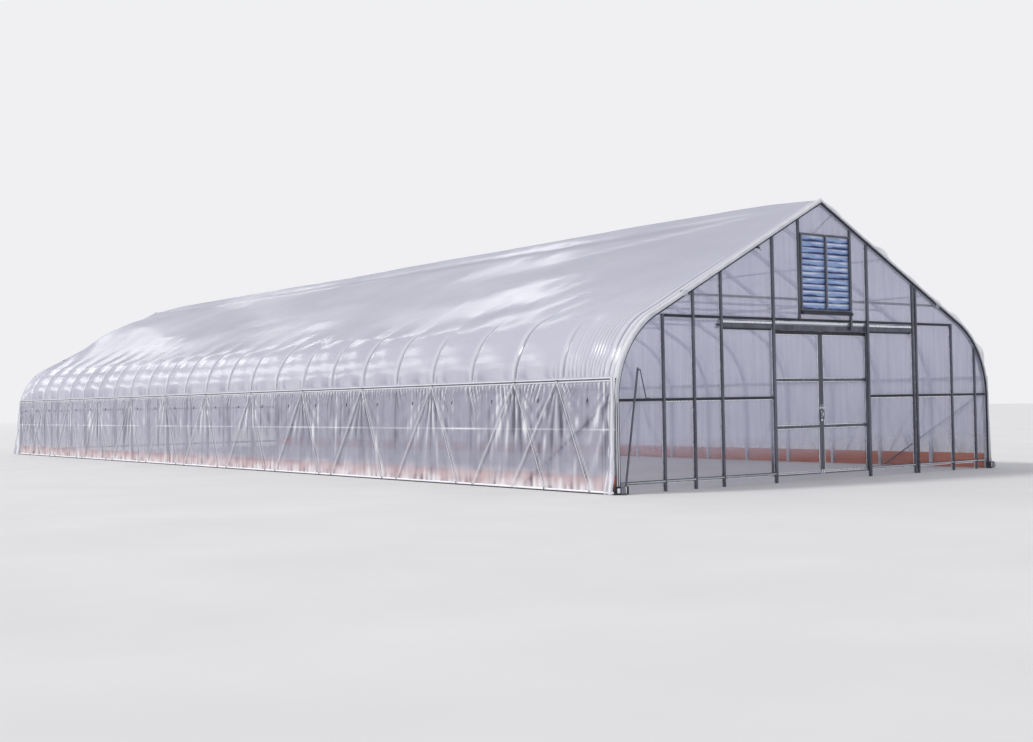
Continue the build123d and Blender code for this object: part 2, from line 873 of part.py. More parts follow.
# A mounting plate, the housing on it, and the round cover of the worm wheel
with BuildPart() as roll_up_gears:
    with BuildSketch(across(gear_back)):
        with Locations(*[(x, gear_z) for x in both_sides(gear_x)]):
            RectangleRounded(gear_width, gear_height, gear_round)
    extrude(amount=gear_plate)
    with BuildSketch(across(gear_back - gear_plate)):
        with Locations(*[(x, gear_z) for x in both_sides(gear_housing_x)]):
            RectangleRounded(gear_housing_width, gear_height, gear_round)
    extrude(amount=gear_depth - gear_plate - gear_cover)
    with BuildSketch(across(gear_back - gear_depth + gear_cover)):
        with Locations(*[(x, gear_z) for x in both_sides(gear_housing_x)]):
            RegularPolygon(gear_cover_radius, tube_sides)
    extrude(amount=gear_cover)

pole_lean = pole_reach / (pole_height - gear_top)
pole_lift = pole_radius * sin(atan(pole_lean)) + seat
pole_plane = Plane(origin=(-pole_foot_x, pole_y, gear_top + pole_lift), z_dir=(pole_lean, 0, 1))
pole_length = (pole_height - gear_top) * hypot(pole_lean, 1)

crank_y = pole_y - pole_radius - crank_reach
shaft_x = pole_foot_x - pole_reach
shaft_z = pole_height - crank_drop
grip_x = shaft_x - crank_across
grip_z = shaft_z - crank_down
shaft_start = (-shaft_x, pole_y - pole_radius - seat, shaft_z)

with BuildPart() as crank_pole:
    with BuildSketch(pole_plane):
        RegularPolygon(pole_radius, 12)
    extrude(amount=pole_length)
    with BuildLine():
        Polyline(
            shaft_start,
            (-shaft_x, crank_y, shaft_z),
            (-grip_x, crank_y, grip_z),
            (-grip_x, crank_y - grip_length, grip_z),
        )
    with BuildSketch(Plane(origin=shaft_start, z_dir=(0, -1, 0))):
        RegularPolygon(crank_radius, 8)
    sweep(transition=Transition.RIGHT)

pieces = {
    "bow_legs": bow_legs,
    "bow_lower_bends": bow_lower_bends,
    "bow_middle_bends": bow_middle_bends,
    "bow_upper_bends": bow_upper_bends,
    "left_rafters": left_rafters,
    "right_rafters": right_rafters,
    "collar_ties": collar_ties,
    "roof_purlins": roof_purlins,
    "baseboards": baseboards,
    "side_girts": side_girts,
    "hip_rails": hip_rails,
    "braces": braces,
    "roof_film": roof_film,
    "left_curtain": left_curtain,
    "right_curtain": right_curtain,
    "roll_tubes": roll_tubes,
    "cord_hooks": cord_hooks,
    "cord_pegs": cord_pegs,
    "left_cords": left_cords,
    "right_cords": right_cords,
    "front_posts": front_posts,
    "front_rails": front_rails,
    "front_left_panel": front_left_panel,
    "front_right_panel": front_right_panel,
    "front_top_panel": front_top_panel,
    "back_posts": back_posts,
    "back_rails": back_rails,
    "back_panel": back_panel,
    "shutter_frame": shutter_frame,
    "shutter_blades": shutter_blades,
    "blade_tie_bar": blade_tie_bar,
    "shutter_sill": shutter_sill,
    "track_web": track_web,
    "track_sides": track_sides,
    "track_lips": track_lips,
    "track_cover": track_cover,
    "left_door_frame": left_door_frame,
    "left_door_panes": left_door_panes,
    "left_door_trolleys": left_door_trolleys,
    "left_door_handle": left_door_handle,
    "right_door_frame": right_door_frame,
    "right_door_panes": right_door_panes,
    "right_door_trolleys": right_door_trolleys,
    "right_door_handle": right_door_handle,
    "roll_up_gears": roll_up_gears,
    "crank_pole": crank_pole,
}

os.makedirs("parts", exist_ok=True)
for name, piece in pieces.items():
    piece.part.label = name
    export_step(piece.part, f"parts/{name}.step")
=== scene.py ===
import math

import bmesh
import bpy
from mathutils import Matrix, Vector, noise


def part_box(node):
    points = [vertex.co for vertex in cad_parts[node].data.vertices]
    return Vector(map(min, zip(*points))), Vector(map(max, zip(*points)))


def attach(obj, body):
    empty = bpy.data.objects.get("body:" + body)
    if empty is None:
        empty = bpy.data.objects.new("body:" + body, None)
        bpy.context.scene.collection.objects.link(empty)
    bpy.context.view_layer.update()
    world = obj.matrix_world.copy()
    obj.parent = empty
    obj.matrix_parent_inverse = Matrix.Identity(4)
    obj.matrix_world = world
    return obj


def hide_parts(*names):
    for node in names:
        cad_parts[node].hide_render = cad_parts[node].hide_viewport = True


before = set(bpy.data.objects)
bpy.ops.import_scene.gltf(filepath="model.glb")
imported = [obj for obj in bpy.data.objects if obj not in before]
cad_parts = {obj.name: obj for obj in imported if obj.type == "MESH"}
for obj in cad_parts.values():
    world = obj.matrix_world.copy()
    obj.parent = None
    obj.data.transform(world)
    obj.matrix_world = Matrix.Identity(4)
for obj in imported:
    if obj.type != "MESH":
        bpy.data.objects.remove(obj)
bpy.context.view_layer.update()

# Metres, in the frame of the model: X across the house, Y along it, Z up, doors facing -Y
legLow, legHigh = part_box("bow_legs")
railLow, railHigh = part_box("hip_rails")

house = {
    "halfBow": 0.03,
    "bay": 1.2192,
    "bayCount": 24,
    "bendRadius": 1.5,
    "pitch": math.radians(27.5),
}
halfBow = house["halfBow"]
bay = house["bay"]
slope = house["pitch"]
bendTurn = math.pi / 2 - slope
halfWidth = legHigh.x - halfBow
frontY = legLow.y + halfBow
backY = legHigh.y - halfBow
legHeight = legHigh.z
bendX = halfWidth - house["bendRadius"]
railOuter = railHigh.x
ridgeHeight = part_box("left_rafters")[1].z - halfBow / math.cos(slope)
bowPlaces = [frontY + bay * i for i in range(house["bayCount"] + 1)]


def slopeHeight(x, offset):
    # height over x of the line that runs above a rafter's centre line by offset
    return ridgeHeight + offset / math.cos(slope) - abs(x) * math.tan(slope)


def archHeight(x, offset):
    # height over x of the line that runs outside a bow's centre line by offset
    radius = house["bendRadius"] + offset
    side = abs(x) - bendX
    if side <= radius * math.cos(bendTurn):
        return slopeHeight(x, offset)
    return legHeight + math.sqrt(max(radius**2 - side**2, 0.0))


def smoothStep(low, high, value):
    share = min(max((value - low) / (high - low), 0.0), 1.0)
    return share * share * (3 - 2 * share)


# Materials

def linearColour(hexText):
    channels = [int(hexText[i : i + 2], 16) / 255 for i in (1, 3, 5)]
    linear = [c / 12.92 if c <= 0.04045 else ((c + 0.055) / 1.055) ** 2.4 for c in channels]
    return (*linear, 1.0)


def addNode(tree, kind, settings=None, inputs=None):
    # a socket given as a value is linked, anything else is set on the node's own socket
    node = tree.nodes.new(kind)
    for name, value in (settings or {}).items():
        setattr(node, name, value)
    for name, value in (inputs or {}).items():
        if isinstance(value, bpy.types.NodeSocket):
            tree.links.new(value, node.inputs[name])
        else:
            node.inputs[name].default_value = value
    return node


def newMaterial(name):
    made = bpy.data.materials.new(name)
    made.use_nodes = True
    made.node_tree.nodes.clear()
    return made, made.node_tree


def placeOn(tree, stretch=(1, 1, 1)):
    # object coordinates in metres, stretched so that a pattern runs along the piece
    place = addNode(tree, "ShaderNodeTexCoord").outputs["Object"]
    return addNode(tree, "ShaderNodeMapping", None, {"Vector": place, "Scale": stretch}).outputs[0]


def heightOn(tree):
    place = addNode(tree, "ShaderNodeTexCoord").outputs["Object"]
    return addNode(tree, "ShaderNodeSeparateXYZ", None, {0: place}).outputs["Z"]


def addNoise(tree, stretch, size, detail, **more):
    # a cloudy pattern whose patches are about size metres wide
    inputs = {"Vector": placeOn(tree, stretch), "Scale": 1 / size, "Detail": detail, **more}
    return addNode(tree, "ShaderNodeTexNoise", None, inputs).outputs["Fac"]


def addWave(tree, direction, pitch, start=0.0, profile="SIN"):
    # bands that repeat every pitch metres from start; one band of the node is pi / 10 wide
    settings = {"bands_direction": direction, "wave_profile": profile}
    offset = -math.tau * start / pitch
    inputs = {"Vector": placeOn(tree), "Scale": math.tau / 20 / pitch, "Phase Offset": offset}
    return addNode(tree, "ShaderNodeTexWave", settings, inputs).outputs["Fac"]


def addMath(tree, operation, *values, clamped=False):
    settings = {"operation": operation, "use_clamp": clamped}
    return addNode(tree, "ShaderNodeMath", settings, dict(enumerate(values))).outputs[0]


def mapRange(tree, value, low, high, newLow=0.0, newHigh=1.0):
    inputs = {"Value": value, "From Min": low, "From Max": high, "To Min": newLow, "To Max": newHigh}
    return addNode(tree, "ShaderNodeMapRange", None, inputs).outputs[0]


def mixColours(tree, share, first, second):
    # each colour is a socket or a hex text
    ends = {6 + i: linearColour(c) if isinstance(c, str) else c for i, c in enumerate((first, second))}
    return addNode(tree, "ShaderNodeMix", {"data_type": "RGBA"}, {0: share, **ends}).outputs[2]


def addBump(tree, height, strength, distance):
    inputs = {"Height": height, "Strength": strength, "Distance": distance}
    return addNode(tree, "ShaderNodeBump", None, inputs).outputs[0]


def addSurface(tree, colour, roughness, normal, **more):
    inputs = {"Base Color": colour, "Roughness": roughness, "Normal": normal, **more}
    return addNode(tree, "ShaderNodeBsdfPrincipled", None, inputs).outputs[0]


def mixShaders(tree, share, first, second):
    return addNode(tree, "ShaderNodeMixShader", None, {0: share, 1: first, 2: second}).outputs[0]


def finishMaterial(made, tree, surface):
    addNode(tree, "ShaderNodeOutputMaterial", None, {"Surface": surface})
    return made


def metalMaterial(name, look):
    # two patterns: broad cloudy patches, and a fine grain that shows in the gloss and the bump
    made, tree = newMaterial(name)
    broad = addNoise(tree, look["broadStretch"], look["broad"], 6.0)
    if look["crystals"]:
        inputs = {"Vector": placeOn(tree, look["fineStretch"]), "Scale": 1 / look["fine"]}
        grain = addNode(tree, "ShaderNodeTexVoronoi", None, inputs).outputs["Color"]
    else:
        grain = addNoise(tree, look["fineStretch"], look["fine"], 4.0)
    level = addMath(tree, "MULTIPLY_ADD", grain, 0.35, broad)
    colour = mixColours(tree, mapRange(tree, level, 0.35, 0.95), look["dark"], look["pale"])
    # painted shadow: the colour turns dark below the given height
    if "shadeTop" in look:
        aboveShadow = mapRange(tree, heightOn(tree), look["shadeTop"], look["shadeTop"] + 0.006)
        colour = mixColours(tree, aboveShadow, "#3B3836", colour)
    roughness, spread = look["roughness"], look["glossSpread"]
    gloss = mapRange(tree, grain, 0.0, 1.0, roughness - spread, roughness + spread)
    bump = addBump(tree, grain, look["bump"], 0.002)
    return finishMaterial(made, tree, addSurface(tree, colour, gloss, bump, Metallic=look["metallic"]))


plainMetal = {
    "broad": 0.3,
    "broadStretch": (1, 1, 1),
    "crystals": False,
    "fine": 0.02,
    "fineStretch": (1, 1, 1),
    "metallic": 0.0,
    "roughness": 0.5,
    "glossSpread": 0.08,
    "bump": 0.12,
}
# Hot-dip galvanised tube: zinc crystals some 12 mm wide, drawn at 30 mm so that they show,
# and a dull grey bloom where the zinc has weathered.
galvanised = {**plainMetal, "dark": "#7F838C", "pale": "#B9BCC4", "broad": 0.6, "crystals": True}
galvanised.update({"fine": 0.03, "metallic": 0.75, "roughness": 0.46, "glossSpread": 0.1, "bump": 0.08})
galvanisedSteel = metalMaterial("galvanisedSteel", galvanised)
# The bows' tube, which stands in light that the film spreads, so that it looks pale
litSteel = metalMaterial(
    "litGalvanisedSteel",
    {**galvanised, "dark": "#A7AAB4", "pale": "#D6D8DF", "metallic": 0.6, "roughness": 0.5},
)
# Weathered steel tube of the gable: dull, with long runs where rain came down, and painted dark
# for the shade that the gable stands in
weatheredAndShadedSteel = metalMaterial(
    "weatheredAndShadedSteel",
    {
        **plainMetal,
        "dark": "#4B4C56",
        "pale": "#7A7C87",
        "broad": 0.25,
        "broadStretch": (1, 1, 0.25),
        "fineStretch": (1, 1, 0.12),
        "metallic": 0.55,
        "roughness": 0.52,
    },
)
# The same tube where it faces down and inwards, so that it looks nearly black
shadedSteel = metalMaterial(
    "shadedSteel",
    {
        **plainMetal,
        "dark": "#24252C",
        "pale": "#43454F",
        "broadStretch": (0.25, 1, 1),
        "fineStretch": (0.12, 1, 1),
        "metallic": 0.5,
    },
)
# Bright aluminium glazing bead: it mirrors the sky, so that it reads as a thin white line
brightAluminium = metalMaterial(
    "brightAluminium",
    {
        **plainMetal,
        "dark": "#E4E5EA",
        "pale": "#FBFBFD",
        "broad": 0.8,
        "fine": 0.012,
        "fineStretch": (1, 1, 0.1),
        "metallic": 0.9,
        "roughness": 0.27,
        "glossSpread": 0.06,
        "bump": 0.04,
    },
)
# The roll tube with the film's white hem round it, painted dark underneath, up to the given
# height, as the shadow where it lies on the ground
rolledHem = metalMaterial(
    "rolledHem",
    {
        **plainMetal,
        "dark": "#DDDDE5",
        "pale": "#FAFAFC",
        "broad": 0.4,
        "fineStretch": (1, 0.2, 1),
        "roughness": 0.4,
        "bump": 0.15,
        "shadeTop": 0.016,
    },
)
# White powder coat on steel: even, slightly dimpled, with a soft shine
powder = {**plainMetal, "dark": "#D9D9DE", "pale": "#F3F3F6", "fine": 0.004}
powder.update({"roughness": 0.4, "glossSpread": 0.05, "bump": 0.15})
powderCoat = metalMaterial("powderCoat", powder)
# Moulded black nylon: faint moulding grain, dusty on its flats
mouldedNylon = metalMaterial(
    "mouldedNylon",
    {**plainMetal, "dark": "#1E1F23", "pale": "#45464C", "broad": 0.06, "fine": 0.003, "bump": 0.15},
)


def timberMaterial():
    # Stained softwood board, sawn: red-brown, with grain lines some 6 mm apart along the board,
    # drawn at 12 mm so that they show
    made, tree = newMaterial("stainedTimber")
    grain = addNoise(tree, (1, 0.03, 1), 0.012, 5.0, Roughness=0.6)
    boards = addNoise(tree, (0.1, 0.25, 1), 1.0, 2.0)
    level = addMath(tree, "MULTIPLY_ADD", boards, 0.6, grain)
    colour = mixColours(tree, mapRange(tree, level, 0.5, 1.1), "#A84A28", "#E08654")
    return finishMaterial(made, tree, addSurface(tree, colour, 0.75, addBump(tree, grain, 0.4, 0.003)))


def filmMaterial(name, look):
    # Blown polyethylene film: milky and glossy. Light goes through it spread out, a little goes
    # straight through, and small wrinkles break up its shine. The marks on its mesh colour it: the
    # soiled foot as skirt, painted shade in the hollows, and on the ridges whiter, less clear film with
    # painted highlight.
    made, tree = newMaterial(name)
    haze = addNoise(tree, look["hazeStretch"], look["haze"], 5.0)
    wrinkle = addNoise(tree, look["wrinkleStretch"], look["wrinkle"], 4.0, Distortion=0.6)
    colour = mixColours(tree, haze, look["dark"], look["pale"])
    spread = look["alphaSpread"]
    clear = mapRange(tree, haze, 0.3, 0.7, look["alpha"] - spread, look["alpha"] + spread)
    # the hollows' mark paints shade; the ridges' mark whitens the film and makes it less clear, partly as
    # painted highlight
    for mark, cover in (("skirt", 0.0), ("paintedShade", 0.15), ("paleFoldAndHighlight", 0.45)):
        share = addNode(tree, "ShaderNodeAttribute", {"attribute_name": mark}).outputs["Fac"]
        colour = mixColours(tree, share, colour, look[mark])
        if cover:
            clear = addMath(tree, "MULTIPLY_ADD", share, cover, clear, clamped=True)
    gloss = mapRange(tree, haze, 0.3, 0.7, look["roughness"] - 0.05, look["roughness"] + 0.06)
    bump = addBump(tree, wrinkle, look["bump"], 0.02)
    shell = addSurface(tree, colour, gloss, bump, IOR=1.51, Alpha=clear)
    inputs = {"Color": colour, "Normal": bump}
    through = addNode(tree, "ShaderNodeBsdfTranslucent", None, inputs).outputs[0]
    return finishMaterial(made, tree, mixShaders(tree, look["through"], shell, through))


# The roof's film, taut and clean: bright, milky and hardly clear
roofFilm = filmMaterial(
    "roofPolyethylene",
    {
        "dark": "#CDCCDA",
        "pale": "#E6E5EE",
        # the next two: the colour of painted shade, and of whiter film with painted highlight
        "paintedShade": "#8E8D9C",
        "paleFoldAndHighlight": "#FBFBFD",
        "skirt": "#E9E8EF",
        "haze": 1.6,
        "hazeStretch": (1, 0.4, 1),
        "wrinkle": 0.14,
        "wrinkleStretch": (1, 0.4, 1),
        "alpha": 0.95,
        "alphaSpread": 0.02,
        "roughness": 0.16,
        "bump": 0.07,
        "through": 0.4,
    },
)
# The curtains' film, wrinkled and dull, and clear enough that the tubes behind it show
sideFilm = filmMaterial(
    "sidePolyethylene",
    {
        "dark": "#9F9EAE",
        "pale": "#BFBECD",
        # the next two: the colour of painted shade, and of whiter film with painted highlight
        "paintedShade": "#605F6E",
        "paleFoldAndHighlight": "#FFFFFF",
        "skirt": "#F4E6EA",
        "haze": 0.5,
        "hazeStretch": (1, 1, 0.35),
        "wrinkle": 0.16,
        "wrinkleStretch": (1, 1, 0.2),
        "alpha": 0.72,
        "alphaSpread": 0.08,
        "roughness": 0.24,
        "bump": 0.5,
        "through": 0.25,
    },
)
# The roof film where it is brought down a corner, gathered and hardly clear
cornerFilm = filmMaterial(
    "gatheredPolyethylene",
    {
        "dark": "#D9D8E2",
        "pale": "#F4F4F8",
        # the next two: the colour of painted shade, and of whiter film with painted highlight
        "paintedShade": "#9C9BA8",
        "paleFoldAndHighlight": "#FFFFFF",
        "skirt": "#EBD6DA",
        "haze": 0.3,
        "hazeStretch": (1, 1, 0.4),
        "wrinkle": 0.08,
        "wrinkleStretch": (1, 1, 0.3),
        "alpha": 0.86,
        "alphaSpread": 0.06,
        "roughness": 0.28,
        "bump": 0.5,
        "through": 0.25,
    },
)
# The same film folded double in a film lock: white, and no longer clear
foldedFilm = filmMaterial(
    "foldedPolyethylene",
    {
        "dark": "#E4E4F0",
        "pale": "#FBFBFF",
        # the next two: the colour of painted shade, and of whiter film with painted highlight
        "paintedShade": "#8C8B99",
        "paleFoldAndHighlight": "#FFFFFF",
        "skirt": "#EBD6DA",
        "haze": 0.2,
        "hazeStretch": (1, 1, 1),
        "wrinkle": 0.03,
        "wrinkleStretch": (1, 1, 1),
        "alpha": 1.0,
        "alphaSpread": 0.0,
        "roughness": 0.3,
        "bump": 0.6,
        "through": 0.15,
    },
)


def twinWallMaterial():
    # Extruded twin-wall polycarbonate: upright flutes 11 mm apart, drawn at 44 mm so that they
    # show, which make it hazy rather than clear. It is clearest down by the ground.
    made, tree = newMaterial("twinWallPolycarbonate")
    flutes = addWave(tree, "X", 0.044)
    streaks = addNoise(tree, (1, 1, 0.06), 0.08, 5.0)
    level = addMath(tree, "MULTIPLY_ADD", flutes, 0.12, streaks)
    colour = mixColours(tree, level, "#DEE0F6", "#F2F3FF")
    lower = mapRange(tree, heightOn(tree), 0.35, 0.8, 0.15, 1.0)
    cover = addMath(tree, "MULTIPLY", mapRange(tree, level, 0.3, 0.9, 0.21, 0.31), lower)
    surface = addSurface(tree, colour, 0.22, addBump(tree, flutes, 0.15, 0.003), IOR=1.58, Alpha=cover)
    through = addNode(tree, "ShaderNodeBsdfTranslucent", None, {"Color": colour}).outputs[0]
    glow = addMath(tree, "MULTIPLY", lower, 0.2)
    return finishMaterial(made, tree, mixShaders(tree, glow, surface, through))


def bladeMaterial(low, pitch):
    # Rolled aluminium shutter blade under the open sky: a deep blue painted shadow under its lower
    # edge, a sky-blue face and a painted highlight along the fold at its top
    made, tree = newMaterial("shutterBlade")
    saw = addWave(tree, "Z", pitch, low, "SAW")
    smear = addNoise(tree, (0.25, 1, 2.0), 0.1, 5.0)
    level = addMath(tree, "ADD", saw, mapRange(tree, smear, 0.35, 0.65, -0.2, 0.18), clamped=True)
    ramp = addNode(tree, "ShaderNodeValToRGB", None, {0: level})
    # from painted shadow along the foot of each blade, over its face, to painted highlight along its top
    stops = [(0.0, "#1E2452"), (0.2, "#40538A"), (0.34, "#8BA2D0"), (0.72, "#A3BAE2"), (0.88, "#EAF2FF")]
    for place, shade in stops[1:-1]:
        ramp.color_ramp.elements.new(place)
    for element, (place, shade) in zip(ramp.color_ramp.elements, stops):
        element.position = place
        element.color = linearColour(shade)
    bump = addBump(tree, smear, 0.2, 0.003)
    return finishMaterial(made, tree, addSurface(tree, ramp.outputs["Color"], 0.34, bump, Metallic=0.4))


def cordMaterial():
    # Braided white polyester: strands some 2 mm apart, drawn at 12 mm so that they show
    made, tree = newMaterial("braidedPolyester")
    braid = addNoise(tree, (1, 1, 1), 0.012, 3.0)
    colour = mixColours(tree, braid, "#C9C9D2", "#FAFAFC")
    return finishMaterial(made, tree, addSurface(tree, colour, 0.7, addBump(tree, braid, 0.4, 0.002)))


stainedTimber = timberMaterial()
twinWall = twinWallMaterial()
braidedCord = cordMaterial()
bladesLow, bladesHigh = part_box("shutter_blades")
shutterBlade = bladeMaterial(bladesLow.z, (bladesHigh.z - bladesLow.z) / 12)
print("materials made")

nodeFinishes = [
    (litSteel, ["bow_legs", "left_rafters", "right_rafters"]),
    (galvanisedSteel, ["collar_ties", "roof_purlins", "hip_rails", "blade_tie_bar", "track_cover"]),
    (galvanisedSteel, ["left_door_trolleys", "right_door_trolleys"]),
    (galvanisedSteel, ["left_door_handle", "right_door_handle"]),
    (weatheredAndShadedSteel, ["front_posts", "back_posts", "cord_hooks", "cord_pegs", "crank_pole"]),
    (weatheredAndShadedSteel, ["shutter_frame", "track_web", "track_sides", "track_lips"]),
    (weatheredAndShadedSteel, ["left_door_frame", "right_door_frame"]),
    (shadedSteel, ["braces", "front_rails", "back_rails", "shutter_sill"]),
    (stainedTimber, ["baseboards"]),
    (powderCoat, ["side_girts"]),
    (rolledHem, ["roll_tubes"]),
    (mouldedNylon, ["roll_up_gears"]),
    (braidedCord, ["left_cords", "right_cords"]),
    (shutterBlade, ["shutter_blades"]),
    (twinWall, ["front_left_panel", "front_right_panel", "front_top_panel", "back_panel"]),
    (twinWall, ["left_door_panes", "right_door_panes"]),
]
for finish, nodeNames in nodeFinishes:
    for nodeName in nodeNames:
        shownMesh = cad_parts[nodeName].data
        shownMesh.materials.clear()
        shownMesh.materials.append(finish)


# Helpers for new pieces

# New pieces stand this far off the solids behind them
clearance = 0.0004


def finishPiece(name, form, finish, body, replaced=(), sharp=40):
    mesh = bpy.data.meshes.new(name)
    form.to_mesh(mesh)
    form.free()
    mesh.materials.append(finish)
    mesh.shade_smooth()
    mesh.set_sharp_from_angle(angle=math.radians(sharp))
    piece = bpy.data.objects.new(name, mesh)
    bpy.context.scene.collection.objects.link(piece)
    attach(piece, body)
    if replaced:
        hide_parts(*replaced)
    return piece


def addBlock(form, low, high, bevel=0.0):
    # a block from its lowest to its highest corner, with its edges rounded
    low, high = Vector(low), Vector(high)
    place = Matrix.Translation((low + high) / 2) @ Matrix.Diagonal((*(high - low), 1.0))
    corners = bmesh.ops.create_cube(form, size=1.0, matrix=place)["verts"]
    if bevel > 0:
        edges = list({e for v in corners for e in v.link_edges})
        bmesh.ops.bevel(
            form, geom=edges, offset=bevel, segments=1, profile=0.5, affect="EDGES", material=-1
        )


def addRod(form, start, end, radius, sides, endRadius=None):
    start, end = Vector(start), Vector(end)
    turn = (end - start).to_track_quat("Z", "Y").to_matrix().to_4x4()
    bmesh.ops.create_cone(
        form,
        cap_ends=True,
        segments=sides,
        radius1=radius,
        radius2=radius if endRadius is None else endRadius,
        depth=(end - start).length,
        matrix=Matrix.Translation((start + end) / 2) @ turn,
    )


def addBothSides(form):
    # a mirrored copy on the other side of the house
    everything = form.verts[:] + form.edges[:] + form.faces[:]
    bmesh.ops.mirror(form, geom=everything, matrix=Matrix(), merge_dist=1e-5, axis="X")
    bmesh.ops.recalc_face_normals(form, faces=form.faces[:])


def cutAway(form, place, normal):
    # takes off all that lies past place in the direction of normal
    everything = form.verts[:] + form.edges[:] + form.faces[:]
    bmesh.ops.bisect_plane(form, geom=everything, plane_co=place, plane_no=normal, clear_outer=True)


def addArch(form, corners, foot, bendSteps=24):
    # a bar whose section has these corners, as (offset from the bow's centre line, y), which
    # follows the right half of a bow from the foot to the ridge
    ring = [form.verts.new((halfWidth + offset, y, foot)) for offset, y in corners]
    form.faces.new(ring)
    edges = {e for v in ring for e in v.link_edges}
    grown = bmesh.ops.extrude_edge_only(form, edges=list(edges))["geom"]
    top = [g for g in grown if isinstance(g, bmesh.types.BMVert)]
    bmesh.ops.translate(form, verts=top, vec=(0, 0, legHeight - foot))
    last = [g for g in grown if isinstance(g, bmesh.types.BMEdge) and all(v in top for v in g.verts)]
    spun = bmesh.ops.spin(
        form,
        geom=top + last,
        cent=(bendX, 0, legHeight),
        axis=(0, -1, 0),
        angle=bendTurn,
        steps=bendSteps,
    )["geom_last"]
    last = [g for g in spun if isinstance(g, bmesh.types.BMEdge)]
    grown = bmesh.ops.extrude_edge_only(form, edges=last)["geom"]
    top = [g for g in grown if isinstance(g, bmesh.types.BMVert)]
    reach = 1.05 * bendX / math.cos(slope) + house["bendRadius"]
    bmesh.ops.translate(form, verts=top, vec=(-reach * math.cos(slope), 0, reach * math.sin(slope)))
    cutAway(form, (0, 0, 0), (-1, 0, 0))


def cloud(x, y, z):
    # smooth noise, from about -1 to 1, that is the same each time
    return noise.noise(Vector((x, y, z)))


def bell(value, width):
    # 1 where value is 0, and falling off over width
    return math.exp(-((value / width) ** 2))


def fromEnds(y):
    return min(y - frontY, backY - y)


def nearestBow(y):
    return min(max(round((y - frontY) / bay), 0), house["bayCount"])


def makeSheet(name, finish, slotName, marks, columns, rows, pointAt, replaced=()):
    # a sheet of film: pointAt gives where the point in a row and column lies, and how much of
    # each mark it has, from 0 to 1
    form = bmesh.new()
    layers = [form.verts.layers.float.new(mark) for mark in marks]
    grid = bmesh.ops.create_grid(form, x_segments=columns, y_segments=rows, size=1.0)["verts"]
    for index, vert in enumerate(grid):
        vert.co, shares = pointAt(*divmod(index, columns + 1))
        for layer, share in zip(layers, shares):
            vert[layer] = share
    bmesh.ops.recalc_face_normals(form, faces=form.faces[:])
    return finishPiece(name, form, finish, "house", replaced, 180)


# Camera, at the place and angle that the photograph was taken from

camera = {
    "place": (-17.355, -29.3624, 1.3635),
    "yaw": math.radians(36.683),
    "pitch": math.radians(1.389),
    "roll": math.radians(-1.0015),
    "lens": 46.23,
    "sensor": 36.0,
}


def makeCamera():
    yaw, pitch, roll = camera["yaw"], camera["pitch"], camera["roll"]
    ahead = Vector((math.sin(yaw), math.cos(yaw), 0))
    level = Vector((math.cos(yaw), -math.sin(yaw), 0))
    forward = math.cos(pitch) * ahead + math.sin(pitch) * Vector((0, 0, 1))
    raised = math.cos(pitch) * Vector((0, 0, 1)) - math.sin(pitch) * ahead
    right = math.cos(roll) * level + math.sin(roll) * raised
    up = math.cos(roll) * raised - math.sin(roll) * level
    data = bpy.data.cameras.new("photoCamera")
    data.lens = camera["lens"]
    data.sensor_width = camera["sensor"]
    data.clip_end = 500
    made = bpy.data.objects.new("photoCamera", data)
    turn = Matrix((right, up, -forward)).transposed().to_4x4()
    made.matrix_world = Matrix.Translation(camera["place"]) @ turn
    bpy.context.scene.collection.objects.link(made)
    bpy.context.scene.camera = made


makeCamera()
print("camera placed")


# Roof film: tight on the end bows, swollen between them, creased where each bow holds it

film = {
    "tightGap": 0.0363,
    "puff": 0.12,
    "swellRun": 1.5,
    "farRidgeRun": 4.5,
    "crown": 0.3,
    "tightCrown": 0.02,
    "overhang": 0.03,
    "bendColumns": 18,
    "slopeColumns": 40,
    "crownColumns": 5,
    "endStep": 0.016,
    "endRun": 1.45,
    # metres of film from the hip to the end of the bend, and from there to the crown
    "bendRun": 1.2,
    "slopeRun": 4.4,
    "creaseDepth": 0.021,
    "creaseWidth": 0.042,
    "creaseLine": 0.022,
    "bulge": 0.022,
    "mottle": 0.006,
    "fineDepth": 0.003,
    "ripple": 0.08,
    "rippleDepth": 0.0065,
    "gather": 0.1,
    "gatherDepth": 0.006,
    "foldDepth": 0.03,
    "ridgeFoldDepth": 0.02,
    "ridgeFoldAway": 0.45,
    "ridgeFoldWidth": 0.13,
    "ridgeLineAway": 0.3,
    "ridgeLineWidth": 0.05,
    "rayTurn": math.radians(11),
    "rayStart": 0.25,
    "endBand": 0.08,
    "slopeSwell": 0.11,
}


def filmSections():
    foot = railHigh.z
    tightRadius = house["bendRadius"] + film["tightGap"]
    tight = {
        "centre": (bendX, legHeight),
        "radius": tightRadius,
        "start": math.asin((foot - legHeight) / tightRadius),
        "apex": slopeHeight(0, film["tightGap"]),
        "crown": film["tightCrown"],
    }
    apex = slopeHeight(0, film["puff"])
    rise = (apex - foot) * math.cos(slope)
    radius = (rise - railOuter * math.sin(slope)) / (1 - math.sin(slope))
    swollen = {
        "centre": (railOuter - radius, foot),
        "radius": radius,
        "start": 0.0,
        "apex": apex,
        "crown": film["crown"],
    }
    return tight, swollen


def sectionPoint(line, q):
    # q runs from 0 at the hip to 1 where the bend ends, 2 where the crown starts and 3 at the
    # ridge; the third result is the angle of the outward direction there
    crownCentre = (0.0, line["apex"] - line["crown"] / math.cos(slope))
    if q <= 1:
        angle = line["start"] + (bendTurn - line["start"]) * q
        centre, radius = line["centre"], line["radius"]
    else:
        angle = bendTurn + (math.pi / 2 - bendTurn) * max(q - 2, 0)
        centre, radius = crownCentre, line["crown"]
    x = centre[0] + radius * math.cos(angle)
    z = centre[1] + radius * math.sin(angle)
    if 1 < q < 2:
        bendEnd = line["centre"][0] + line["radius"] * math.cos(bendTurn)
        x = bendEnd + (x - bendEnd) * (q - 1)
        z = slopeHeight(0, 0) + (line["apex"] - ridgeHeight) - x * math.tan(slope)
    return x, z, angle


